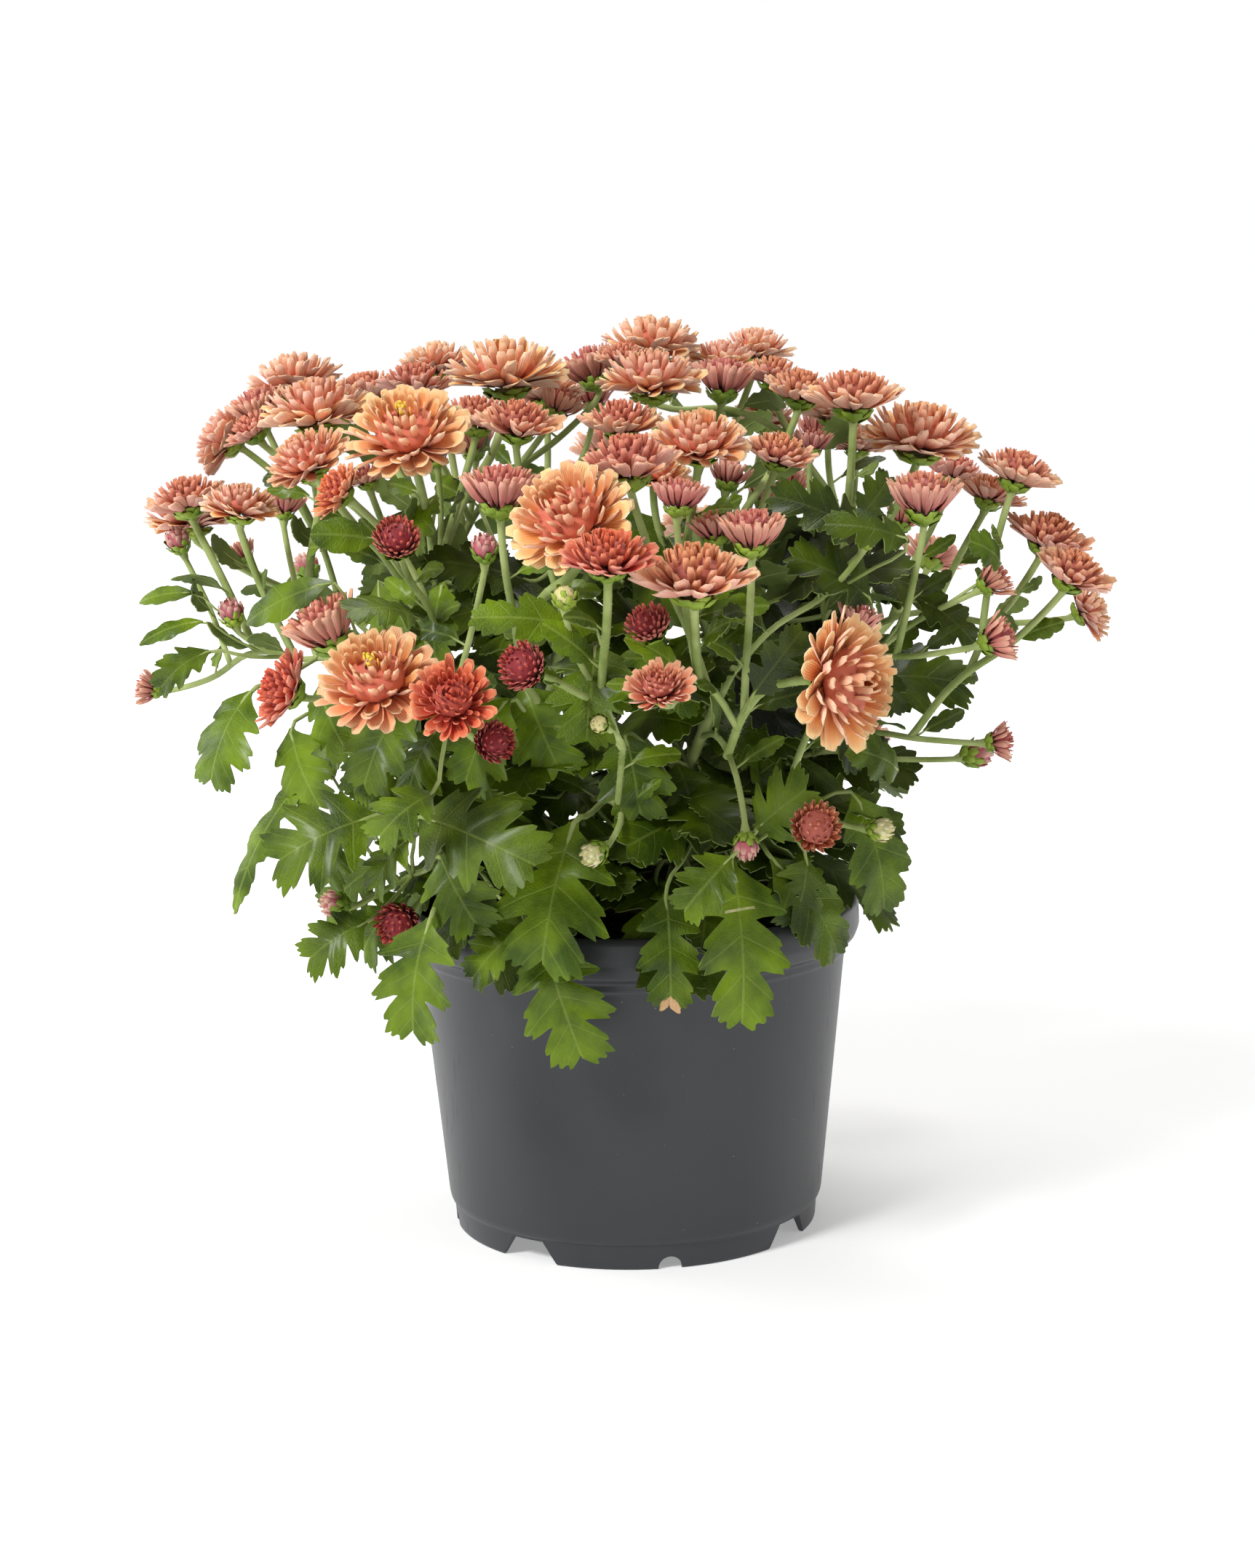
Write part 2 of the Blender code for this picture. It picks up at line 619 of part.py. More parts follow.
def tube(name, points, radii, group, sides=4):
    """A closed tube with flat sides through the points, with a radius at each."""
    ring = bpy.data.curves.new(name, "CURVE")
    ring.dimensions = "2D"
    spline = ring.splines.new("POLY")
    spline.points.add(sides - 1)
    spline.use_cyclic_u = True
    for i, spot in enumerate(spline.points):
        turn = 2 * math.pi * (i + 0.5) / sides
        spot.co = (math.cos(turn), math.sin(turn), 0, 1)
    section = bpy.data.objects.new(name, ring)
    curve = bpy.data.curves.new(name, "CURVE")
    curve.dimensions = "3D"
    curve.bevel_mode = "OBJECT"
    curve.bevel_object = section
    curve.use_fill_caps = True
    spline = curve.splines.new("POLY")
    spline.points.add(len(points) - 1)
    for spot, point, radius in zip(spline.points, points, radii):
        spot.co = (*point, 1)
        spot.radius = radius
    wire = bpy.data.objects.new(name, curve)
    group.objects.link(section)
    group.objects.link(wire)
    bpy.context.view_layer.update()
    graph = bpy.context.evaluated_depsgraph_get()
    solid = bpy.data.objects.new(name, bpy.data.meshes.new_from_object(wire.evaluated_get(graph)))
    group.objects.link(solid)
    bpy.data.objects.remove(wire, do_unlink=True)
    bpy.data.objects.remove(section, do_unlink=True)
    bm = bmesh.new()
    bm.from_mesh(solid.data)
    bmesh.ops.remove_doubles(bm, verts=bm.verts, dist=0.001 * MM)
    bmesh.ops.triangulate(bm, faces=bm.faces)
    bmesh.ops.recalc_face_normals(bm, faces=bm.faces)
    bm.to_mesh(solid.data)
    bm.free()
    return solid


def turned(name, profile, group, sides=POT_SIDES):
    """A closed profile of (radius, height) points turned about Z."""
    bm = bmesh.new()
    verts = [bm.verts.new((radius, 0, height)) for radius, height in profile]
    edges = [bm.edges.new((verts[i - 1], verts[i])) for i in range(len(verts))]
    bmesh.ops.spin(
        bm, geom=verts + edges, cent=(0, 0, 0), axis=(0, 0, 1), angle=2 * math.pi,
        steps=sides, use_merge=True,
    )
    bmesh.ops.remove_doubles(bm, verts=bm.verts, dist=0.01 * MM)
    bmesh.ops.recalc_face_normals(bm, faces=bm.faces)
    return object_of(bm, name, group)


# Petal layers of each kind of head, from the calyx up: how far out the tips reach, and how high
# they stand, both in half widths.
LAYERS = {
    "open": [(1.00, 0.34), (0.90, 0.52), (0.74, 0.66), (0.50, 0.76)],
    "young": [(1.00, 0.44), (0.84, 0.60), (0.62, 0.74)],
    "cup": [(0.86, 0.78), (1.00, 1.02), (0.62, 1.02)],
    "button": [(0.94, 0.52), (1.00, 0.86), (0.66, 1.12)],
    "bud": [(0.92, 0.62), (1.00, 1.00), (0.60, 1.55)],
    "green": [(1.00, 0.60), (0.90, 1.10)],
}
SEAT = {"open": 0.17, "young": 0.20, "cup": 0.34, "button": 0.34, "bud": 0.45, "green": 0.5}
CREASE = {"open": 0.78, "young": 0.80, "cup": 0.84, "button": 0.86, "bud": 0.92, "green": 0.92}
WIDE = 44 * MM  # heads from this width on have more petals and layers
OPEN_WIDTH = 24 * MM  # narrower heads have fewer petals and layers
BUD_WIDTH = 17 * MM  # the smallest are closed buds of four facets
SHORT_STALK = 60 * MM
CALYX = 0.3  # depth of a small head's calyx, in half widths


def petals_in_layer(kind, width):
    if width < BUD_WIDTH:
        return 4
    if width >= WIDE:
        return 9
    return 7 if width >= OPEN_WIDTH else 5


def head_mesh(kind, width, grow=0.0, calyx=0.0):
    """A head as one closed skin, seat at the origin and axis along Z.

    Each layer is a ring of petal tips with creases between them. The next layer's tips stand
    over those creases, so the skin folds in under every petal.
    """
    half = width / 2 + grow
    count = petals_in_layer(kind, width)
    layers = LAYERS[kind] if width >= WIDE else LAYERS[kind][-3:]
    if width < OPEN_WIDTH:
        layers = [layers[0], layers[-1]]
    if width < BUD_WIDTH:
        layers = layers[:1]
    bm = bmesh.new()
    seat = SEAT[kind] * half
    below = [bm.verts.new((seat * math.cos(a), seat * math.sin(a), -grow - calyx * half))
             for a in (2 * math.pi * i / count for i in range(count))]
    bm.faces.new(reversed(below))
    ring = None
    for level, (reach, height) in enumerate(layers):
        previous, ring = ring, []
        for j in range(2 * count):
            is_tip = j % 2 == level % 2
            out = reach if is_tip else reach * CREASE[kind]
            up = height if is_tip else height - 0.04
            angle = math.pi * j / count
            ring.append(bm.verts.new((
                half * out * math.cos(angle), half * out * math.sin(angle), half * up)))
        for j in range(2 * count):
            k = (j + 1) % (2 * count)
            if previous is None:
                if j % 2 == 0:
                    bm.faces.new((below[j // 2], ring[j], ring[k]))
                else:
                    lower = below[(k // 2) % count]
                    bm.faces.new((below[j // 2], ring[j], lower))
                    bm.faces.new((lower, ring[j], ring[k]))
                    continue
                continue
            crease = j % 2 != (level - 1) % 2  # the lower ring's crease is at j
            if crease:
                bm.faces.new((previous[j], previous[k], ring[k]))
                bm.faces.new((previous[j], ring[k], ring[j]))
            else:
                bm.faces.new((previous[j], previous[k], ring[j]))
                bm.faces.new((previous[k], ring[k], ring[j]))
    crown = LAYERS[kind][-1][1] + (0.06 if width >= BUD_WIDTH else 0.3)
    top = bm.verts.new((0, 0, half * crown + grow))
    for j in range(2 * count):
        bm.faces.new((ring[j], ring[(j + 1) % (2 * count)], top))
    bmesh.ops.triangulate(bm, faces=bm.faces)
    bmesh.ops.recalc_face_normals(bm, faces=bm.faces)
    return bm


def head_object(head, name, group, grow=0.0, calyx=0.0):
    kind, seat, axis, width = head
    made = object_of(head_mesh(kind, width, grow, calyx), name, group)
    made.location = seat + axis * GAP
    made.rotation_mode = "QUATERNION"
    made.rotation_quaternion = axis.to_track_quat("Z", "Y")
    return made


def stalk(head, line, own, group, grow=0.0):
    """The stalk of a head. Under a separate head it widens into the cup that the petals sit in."""
    kind, seat, axis, width = head
    points, radii = list(line), [STALK_RADIUS + grow] * len(line)
    radii[0] = STALK_RADIUS * ROOT
    if own:
        points.append(seat - axis * 0.05 * MM)
        radii.append(SEAT[kind] * width / 2 * 1.35 + grow)
        return tube("stalk", points, radii, group)
    points[-1] = seat + axis * 0.1 * width
    return tube("stalk", points, radii, group, 3)


def leaf_object(start, base, tip, width, outline, group, grow=0.0):
    """A leaf with its own stalk, from the stem to the base of the blade.

    Half the blade's edge is mirrored about the midrib; the blade is arched, folded and thick.
    """
    line = tip - base
    length = line.length
    ahead = line.normalized()
    middle = (base + tip) / 2
    facing = Vector((middle.x, middle.y, 0)).normalized() + UP * 0.6
    if middle.y < 0.03 and abs(middle.x) > 0.09:
        facing += TO_LIGHT
    face = (facing - ahead * facing.dot(ahead)).normalized()
    side = face.cross(ahead)
    half = width / 2 + grow
    edge, stretches = outline
    arch, fold = 0.10 * length, 0.16

    def spot(s, t):
        lift = arch * 4 * s * (1 - s) + fold * half * abs(t)
        return base + ahead * (s * length) + side * (t * half) + face * lift

    bm = bmesh.new()
    narrow = side * (PETIOLE_WIDTH / 2 + grow)
    foot = [bm.verts.new(start + narrow * way * ROOT) for way in (1, -1)]
    heel = [bm.verts.new(base + narrow * way) for way in (1, -1)]
    bm.faces.new((foot[0], foot[1], heel[1], heel[0]))
    ribs = {last: bm.verts.new(spot(edge[last][0], 0)) for _, last in stretches}
    bm.faces.new((heel[0], heel[1], ribs[stretches[0][1]]))
    for way, corner in ((1, heel[0]), (-1, heel[1])):
        rim = [corner] + [bm.verts.new(spot(s, t * way)) for s, t in edge[1:-1]] + [ribs[len(edge) - 1]]
        for first, last in stretches:
            corners = [ribs.get(first, corner)] + rim[first : last + 1] + [ribs[last]]
            corners = list(dict.fromkeys(corners))
            bm.faces.new(corners if way == 1 else reversed(corners))
    bmesh.ops.triangulate(bm, faces=bm.faces)
    bmesh.ops.recalc_face_normals(bm, faces=bm.faces)
    made = object_of(bm, "leaf", group)
    shell = made.modifiers.new("thickness", "SOLIDIFY")
    shell.thickness = LEAF_THICKNESS + 2 * grow
    shell.offset = 0
    apply_modifiers(made)
    return made


def rule_leaves(k):
    """Leaves along both forks by rule: outwards, in turn to the left and right, hanging lower down."""
    draw = random.Random(SEED + k)
    leaves = []
    for fork in range(FORKS):
        path = stem_path(k, fork)
        turn = 2 * math.pi * (k + (fork + 0.5) / FORKS) / LEAFY_STEMS
        for i in range(RULE_LEAVES if k < 2 else FRONT_RULE_LEAVES):
            start = along(path, (0.30, 0.44, 0.60, 0.78)[i])
            way = heading(turn + math.radians((13, -13)[i % 2] + draw.uniform(-4, 4)))
            droop = (-0.25, 0.05, 0.25, 0.45)[i] + draw.uniform(-0.1, 0.1)
            base = start + (way + UP * 0.55).normalized() * (32, 24, 20, 16)[i] * MM
            tip = base + (way + UP * droop).normalized() * (54, 52, 46, 38)[i] * MM
            leaves.append((start, base, tip, (35, 34, 28, 22)[i] * MM, (PLAIN_EDGE, PLAIN_RIBS)))
    return leaves


def inner_leaves(k, wood):
    """Short leaves among the stalks of cutting k by rule, above the compost, more at the back."""
    draw = random.Random(SEED + 80 + k)
    every = 3 if k < 2 else 6
    leaves = []
    for i in range(INNER_LEAVES):
        turn = 2 * math.pi * (k + (i % 6 + draw.uniform(0.1, 0.9)) / 6) / LEAFY_STEMS
        level = i // 6 / (INNER_LEAVES // 6)
        out = (38 + 24 * level + draw.uniform(-18, 28)) * MM
        base = heading(turn) * out + UP * (152 + 135 * level + draw.uniform(-8, 8)) * MM
        way = heading(turn + math.radians(draw.uniform(-60, 60)))
        tip = base + (way + UP * draw.uniform(-0.35, 0.5)).normalized() * draw.uniform(38, 56) * MM
        width = (tip - base).length * draw.uniform(0.55, 0.7)
        start = min(wood, key=lambda p: (p - base).length)
        if i > 5 and i % every == i // 6 % 3:
            leaves.append((start, base, tip, width, (INNER_EDGE, INNER_RIBS)))
    return leaves


def outline_of(leaf):
    """The edge of a listed leaf: the nearest blades have the most lobes."""
    if leaf.width * MM < SLIM_WIDTH:
        return SLIM_EDGE, SLIM_RIBS
    if leaf.forward * MM < RIM_RADIUS:
        return PLAIN_EDGE, PLAIN_RIBS
    return LOBED_EDGE, LOBED_RIBS


def listed_leaves(k, wood):
    """The large leaves of the list whose blades stand in this cutting's share of the circle."""
    leaves = []
    middle = stem_path(k, 0)[1]
    for leaf in LEAVES:
        base = sight(*leaf.base, leaf.forward * MM)
        tip = sight(*leaf.tip, leaf.tip_forward * MM)
        if sector((base + tip) / 2) == k:
            aim = base + (middle - base).normalized() * 30 * MM + UP * 4 * MM
            start = min(wood, key=lambda p: (p - aim).length)
            leaves.append((start, base, tip, leaf.width * MM, outline_of(leaf)))
    return leaves


def stalks_of(k, grown, own, group, grow=0.0):
    """The forks, stalks and small heads of cutting k as separate solids, the stem first."""
    radii = [STEM_RADIUS + grow] * 3 + [STEM_RADIUS * 0.85 + grow, STEM_RADIUS * 0.6 + grow]
    pieces = [tube("stem", stem_path(k, 0), radii, group)]
    pieces += [tube("fork", stem_path(k, fork)[1:], radii[1:], group) for fork in range(1, FORKS)]
    for head, line in grown:
        pieces.append(stalk(head, line, head in own, group, grow))
        if head not in own:
            pieces.append(head_object(head, "small_head", group, grow, calyx=CALYX))
    return pieces


def leaves_of(k, wood, group, grow=0.0):
    """The leaves of cutting k as separate solids."""
    listed = listed_leaves(k, wood) + rule_leaves(k) + inner_leaves(k, wood)
    return [leaf_object(*leaf, group, grow) for leaf in listed]


def pot_profile(grow=0.0):
    """The wall's section, up the outside and down the inside."""
    return [
        (FOOT_RADIUS + grow, -grow),
        (FOOT_RADIUS + 0.8 * MM + grow, STEP_HEIGHT),
        (STEP_RADIUS - 0.8 * MM + grow, STEP_HEIGHT + 0.2 * MM),
        (STEP_RADIUS + grow, STEP_HEIGHT + 2.5 * MM),
        (BODY_TOP_RADIUS + grow, COLLAR_BOTTOM),
        (COLLAR_RADIUS + grow, COLLAR_BOTTOM + 0.7 * MM),
        (COLLAR_RADIUS + grow, RIM_BOTTOM),
        (RIM_RADIUS - 1.8 * MM + grow, RIM_BOTTOM + 2.2 * MM),
        (RIM_RADIUS + grow, RIM_BOTTOM + 7 * MM),
        (RIM_RADIUS - 0.3 * MM + grow, RIM_TOP - 2 * MM),
        (RIM_RADIUS - 1.5 * MM, RIM_TOP + grow),
        (RIM_RADIUS - 3 * MM, RIM_TOP + grow),
    ]


def inner_radius(height):
    """The pot's inside radius at a height between its floor and its collar."""
    share = (height - STEP_HEIGHT) / (COLLAR_BOTTOM - STEP_HEIGHT)
    return STEP_RADIUS + (BODY_TOP_RADIUS - STEP_RADIUS) * share - WALL


def make_pot(group, model):
    inside = [
        (RIM_RADIUS - 4 * MM, RIM_TOP - 1.5 * MM),
        (COLLAR_RADIUS - WALL, RIM_BOTTOM + 3 * MM),
        (inner_radius(COLLAR_BOTTOM), COLLAR_BOTTOM),
        (inner_radius(FLOOR_TOP + 3 * MM), FLOOR_TOP + 3 * MM),
        (STEP_RADIUS - 6 * MM, FLOOR_TOP),
        (0, FLOOR_TOP),
        (0, FLOOR_TOP - 2 * MM),
        (FOOT_RADIUS - 3 * MM, FLOOR_TOP - 2 * MM),
        (FOOT_RADIUS - 2.2 * MM, 0),
    ]
    pot = turned("pot", pot_profile() + inside, group)
    cutters = []
    for i in range(FOOT_NOTCHES):
        turn = NOTCH_TURN + 2 * math.pi * i / FOOT_NOTCHES
        cutters.append(wedge(turn, 15 * MM, 27 * MM, 9.2 * MM, group))
        cutters.append(wedge(turn + math.pi / FOOT_NOTCHES, 5 * MM, 9 * MM, 5.5 * MM, group))
        bm = bmesh.new()
        bmesh.ops.create_cone(
            bm, cap_ends=True, segments=8, radius1=DRAIN_RADIUS, radius2=DRAIN_RADIUS, depth=20 * MM,
            matrix=Matrix.Rotation(turn, 4, "Z") @ Matrix.Translation((0, -DRAIN_RING, FLOOR_TOP)),
        )
        cutters.append(object_of(bm, "drain", group))
    combine(pot, cutters, "DIFFERENCE", "EXACT")
    finish(pot, "pot", "pot_plastic", model)
    return pot


def wedge(turn, top, bottom, height, group):
    """A cutter through the foot ring with sloping sides, wider at the floor."""
    bm = bmesh.new()
    bmesh.ops.create_cube(bm, size=1)
    for vert in bm.verts:
        wide = top if vert.co.z > 0 else bottom + (bottom - top) * 2 * MM / height
        vert.co.x *= wide
        vert.co.y = -FOOT_RADIUS + vert.co.y * 16 * MM
        vert.co.z = height if vert.co.z > 0 else -2 * MM
    bmesh.ops.rotate(bm, verts=bm.verts, cent=(0, 0, 0), matrix=Matrix.Rotation(turn, 3, "Z"))
    return object_of(bm, "notch", group)


def make_soil(group, model):
    """Compost that fills the pot, with a rough top and a hole for each stem."""
    sides, rings = POT_SIDES, (0.45, 0.86)
    bm = bmesh.new()
    outer = inner_radius(COLLAR_BOTTOM) - GAP
    bottom = FLOOR_TOP + 3.4 * MM
    profile = [(inner_radius(bottom) - 2 * GAP - 0.4 * MM, bottom), (outer, COLLAR_BOTTOM)]
    loops = []
    for radius, height in profile:
        loops.append([(radius, height)] * sides)
    for share in reversed(rings):
        loops.append([(outer * share, SOIL_EDGE + (SOIL_TOP - SOIL_EDGE) * (1 - share**2))] * sides)
    made = []
    for level, loop in enumerate(loops):
        verts = []
        for j, (radius, height) in enumerate(loop):
            angle = 2 * math.pi * j / sides
            spot = Vector((radius * math.cos(angle), radius * math.sin(angle), height))
            if level >= 2:
                spot.z += SOIL_RELIEF * noise.noise(spot * 60)
            verts.append(bm.verts.new(spot))
        made.append(verts)
    bm.faces.new(reversed(made[0]))
    for low, high in zip(made, made[1:]):
        for j in range(sides):
            k = (j + 1) % sides
            bm.faces.new((low[j], low[k], high[k], high[j]))
    bm.faces.new(made[-1])
    bmesh.ops.triangulate(bm, faces=bm.faces)
    soil = object_of(bm, "soil", group)
    holes = [
        tube("hole", [stem_path(k, 0)[0] - UP * GAP, stem_path(k, 0)[1]], [STEM_RADIUS + GAP * 1.5] * 2, group)
        for k in range(LEAFY_STEMS)
    ]
    combine(soil, holes, "DIFFERENCE", "EXACT")
    finish(soil, "soil", "compost", model)
    return soil


def make_leafy_stem(k, plans, own, bench, model):
    """Cutting k, with its leaves cut clear of the other cuttings and all of it of the blooms."""
    grown, wood = plans[k]
    leaf, *more = leaves_of(k, wood, bench)
    combine(leaf, more, "UNION")
    for other in range(LEAFY_STEMS):
        if other != k:
            combine(leaf, stalks_of(other, plans[other][0], own, bench, GAP), "DIFFERENCE")
        if other < k:
            combine(leaf, leaves_of(other, plans[other][1], bench, GAP), "DIFFERENCE")
    stem, *twigs = stalks_of(k, grown, own, bench)
    combine(stem, twigs + [leaf], "UNION")
    combine(stem, [head_object(head, "room", bench, GAP) for head in own], "DIFFERENCE")
    keep_largest(stem)
    simplify(stem)
    finish(stem, f"leafy_stem_{k + 1}", "foliage", model)


def main():
    clear_scene()
    model, bench = collection("pot_chrysanthemum"), collection("bench")
    make_pot(bench, model)
    make_soil(bench, model)
    heads = placed_heads()
    own = heads[:OWN_HEADS]
    for i, head in enumerate(own):
        bloom = head_object(head, "bloom", bench)
        finish(bloom, f"bloom_{i + 1:02d}", PETALS[head[0]], model)
    plans = [branches(k, heads) for k in range(LEAFY_STEMS)]
    for k in range(LEAFY_STEMS):
        make_leafy_stem(k, plans, own, bench, model)
    bpy.data.collections.remove(bench)


main()
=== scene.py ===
# %% [markdown]
# # A potted chrysanthemum
#
# The object is a garden chrysanthemum in full bloom, in the plain dark grey pot that a nursery
# sells it in. The imported CAD model gives the place of every stem, leaf and flower head. This
# lesson dresses it: layered petals, lobed leaves with veins, hairy stems, crumbly compost and
# satin plastic. The CAD model is loaded first, because every piece is set on what it says.

# %% The imported model and its bodies
import json
import math
import random
from collections import namedtuple

import bmesh
import bpy
from mathutils import Matrix, Vector, noise

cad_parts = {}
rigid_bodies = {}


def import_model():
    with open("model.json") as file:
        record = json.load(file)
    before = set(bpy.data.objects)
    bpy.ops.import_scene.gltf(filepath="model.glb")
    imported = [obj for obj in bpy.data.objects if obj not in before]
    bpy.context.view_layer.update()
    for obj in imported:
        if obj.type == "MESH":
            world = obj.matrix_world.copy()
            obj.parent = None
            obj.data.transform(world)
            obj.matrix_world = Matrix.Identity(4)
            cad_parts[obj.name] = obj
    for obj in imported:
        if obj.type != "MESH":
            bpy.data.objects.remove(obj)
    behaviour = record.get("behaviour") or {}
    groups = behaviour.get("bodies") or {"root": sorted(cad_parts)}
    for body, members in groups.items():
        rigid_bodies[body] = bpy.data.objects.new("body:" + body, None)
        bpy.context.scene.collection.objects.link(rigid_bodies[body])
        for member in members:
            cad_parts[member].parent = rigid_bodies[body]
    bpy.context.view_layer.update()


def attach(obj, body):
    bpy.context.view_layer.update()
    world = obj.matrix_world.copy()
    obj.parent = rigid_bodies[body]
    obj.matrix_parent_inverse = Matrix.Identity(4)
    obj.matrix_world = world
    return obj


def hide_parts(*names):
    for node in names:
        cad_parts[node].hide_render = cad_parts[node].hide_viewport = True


for old in list(bpy.data.objects):
    bpy.data.objects.remove(old, do_unlink=True)
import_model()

# %% [markdown]
# ## Where everything grows
#
# A head or a leaf could be placed by eye, one by one. Here each one is a line in a table
# instead: where it is seen from the front, how deep it stands in the dome of flowers, and how
# wide it is. The same lines and the same rules made the CAD model, so both agree. Lengths in
# the tables are in millimetres and sights are in pixels of the front view.

# %% Units, and what a line of a table says
MM = 0.001
UP = Vector((0, 0, 1))
SEED = 7
Head = namedtuple("Head", "kind u v depth width faces")
Leaf = namedtuple("Leaf", "base forward tip tip_forward width")
print("A head is", Head._fields, "and a leaf is", Leaf._fields)

# %% [markdown]
# The heads come in six kinds, from the oldest to the youngest: open, young with a tight
# middle, half-open cup, button, closed bud and green bud. Each line gives the kind, the sight of
# the head's middle, its depth in the dome from 1 at the near side to -1 at the far side, its
# width, and the way it faces. Heads with no way of their own face straight out of the dome.

# %% The flower heads
HEADS = [
    Head(*row)
    for row in (
        ("open", 406, 522, -0.55, 40, (-2, 1, 9)),
        ("open", 432, 560, 0.05, 46, (-1, -1, 9)),
        ("cup", 357, 566, -0.15, 24, (-3, -1, 8)),
        ("open", 308, 602, -0.40, 32, (-8, 1, 5)),
        ("young", 345, 590, 0.15, 24, (-5, -1, 7)),
        ("young", 503, 538, -0.50, 32, None),
        ("young", 572, 526, -0.15, 32, (0, 0, 9)),
        ("open", 600, 500, -0.75, 34, None),
        ("open", 697, 508, -0.05, 49, (0, -1, 9)),
        ("open", 750, 536, -0.70, 36, None),
        ("open", 559, 592, 0.75, 45, (-1, -6, 7)),
        ("open", 421, 630, 0.55, 35, (-4, -3, 8)),
        ("young", 656, 572, 0.30, 31, (1, -1, 9)),
        ("young", 712, 580, 0.55, 32, (1, -2, 9)),
        ("cup", 768, 558, -0.10, 20, (4, 0, 8)),
        ("cup", 597, 626, 0.25, 17, None),
        ("cup", 650, 616, -0.30, 19, None),
        ("young", 256, 684, 0.25, 33, (-2, -1, 9)),
        ("open", 330, 694, 0.55, 30, (1, -1, 9)),
        ("open", 263, 708, -0.20, 38, (-1, 0, 9)),
        ("cup", 391, 698, 0.10, 17, (1, 0, 9)),
        ("young", 462, 675, 0.80, 24, (-7, -3, 5)),
        ("young", 503, 656, 0.20, 20, None),
        ("button", 546, 744, 0.90, 17, (0, -7, 6)),
        ("bud", 666, 762, 0.85, 11, (0, -3, 9)),
        ("bud", 247, 750, 0.10, 12, (-2, -3, 7)),
        ("cup", 334, 764, -0.50, 15, (-4, 2, 7)),
        ("bud", 320, 850, 0.30, 12, (-2, -2, 9)),
        ("cup", 687, 682, 0.75, 27, (0, -1, 9)),
        ("open", 782, 708, 0.85, 46, (-3, -6, 6)),
        ("young", 835, 764, 0.95, 33, (0, -3, 9)),
        ("cup", 450, 868, 0.80, 29, (-4, -1, 8)),
        ("open", 516, 932, 0.95, 42, (-1, -6, 6)),
        ("young", 388, 947, 0.75, 31, (-8, -3, 4)),
        ("young", 622, 962, 1.00, 29, (0, -8, 5)),
        ("button", 722, 918, 1.00, 17, (-4, -7, 3)),
        ("button", 892, 862, 0.85, 16, (-3, -5, 7)),
        ("green", 776, 826, 0.90, 10, (0, -3, 9)),
        ("cup", 208, 947, 0.20, 15, (-9, 0, 2)),
        ("bud", 424, 788, -0.80, 14, None),
        ("bud", 439, 824, -0.80, 12, None),
        ("cup", 503, 750, -0.30, 17, None),
        ("open", 899, 470, -0.40, 42, (0, 0, 9)),
        ("cup", 815, 510, -0.20, 26, (-3, 0, 9)),
        ("young", 856, 493, 0.00, 25, None),
        ("open", 895, 519, 0.30, 41, (0, -1, 9)),
        ("open", 994, 496, -0.50, 32, None),
        ("cup", 994, 528, 0.10, 25, (1, 0, 9)),
        ("open", 1040, 480, -0.80, 32, None),
        ("young", 1062, 514, -0.10, 28, (1, 0, 9)),
        ("young", 1103, 536, 0.15, 31, (2, -1, 9)),
        ("young", 1173, 543, 0.50, 38, (0, -1, 9)),
        ("open", 1142, 566, -0.30, 25, None),
        ("young", 853, 578, 0.50, 31, (0, -1, 9)),
        ("open", 1265, 597, 0.30, 46, (1, -2, 9)),
        ("open", 1180, 608, -0.30, 27, (1, 1, 8)),
        ("open", 960, 605, 0.60, 38, (0, -3, 9)),
        ("young", 861, 634, 0.80, 38, (-1, -1, 9)),
        ("young", 1071, 622, 0.60, 27, (2, -2, 8)),
        ("cup", 1115, 612, 0.10, 17, (1, 0, 9)),
        ("open", 904, 648, 0.55, 25, (2, -3, 7)),
        ("cup", 1001, 658, 0.20, 18, (2, 2, 9)),
        ("cup", 933, 688, 0.75, 20, (1, 0, 9)),
        ("young", 1314, 648, -0.30, 27, None),
        ("young", 1362, 678, 0.00, 28, (3, 1, 8)),
        ("young", 1400, 648, 0.30, 33, (3, -1, 9)),
        ("cup", 1270, 690, 0.60, 28, (0, -1, 9)),
        ("cup", 982, 730, 0.50, 19, (-2, 0, 9)),
        ("cup", 1033, 738, 0.80, 24, (0, -1, 9)),
        ("young", 955, 793, 0.95, 41, (0, -2, 9)),
        ("cup", 1241, 716, -0.70, 18, None),
        ("young", 1442, 736, 0.20, 34, (3, -2, 8)),
        ("young", 1476, 786, 0.50, 33, (4, -2, 8)),
        ("open", 1496, 838, 0.00, 27, (8, -1, 4)),
        ("cup", 1362, 800, 0.50, 18, (7, -1, 5)),
        ("cup", 1366, 880, 0.60, 20, (8, -1, 3)),
        ("young", 906, 944, 1.00, 23, (-1, -6, 8)),
        ("open", 1164, 938, 0.95, 47, (7, -6, 0)),
        ("cup", 1178, 855, 0.60, 17, (3, 0, 9)),
        ("green", 1190, 745, 0.70, 9, None),
        ("cup", 1052, 686, -0.50, 18, None),
        ("cup", 1090, 668, -0.60, 18, None),
        ("open", 1052, 572, -0.60, 30, None),
        ("cup", 815, 550, -0.70, 20, None),
        ("button", 677, 1021, 0.95, 15, (4, -7, 2)),
        ("bud", 468, 1244, 0.85, 12, (-9, -1, 2)),
        ("button", 549, 1270, 1.00, 18, (-2, -8, -1)),
        ("bud", 823, 1170, 0.70, 11, (-6, -4, -3)),
        ("green", 826, 997, 0.90, 8, (-3, -5, 2)),
        ("bud", 1025, 1156, 0.75, 11, (0, -3, -9)),
        ("button", 1120, 1138, 0.80, 19, (1, -9, 3)),
        ("bud", 1202, 1140, 0.60, 11, (9, -3, 0)),
        ("cup", 1370, 1020, 0.40, 16, (9, -1, 1)),
        ("bud", 1334, 1038, 0.10, 14, (8, 1, 2)),
    )
]
print("Heads in the table:", len(HEADS))

# %% [markdown]
# A large leaf's line gives the sights of its blade's base and tip, how far each stands in front
# of the pot's axis, and the blade's width.

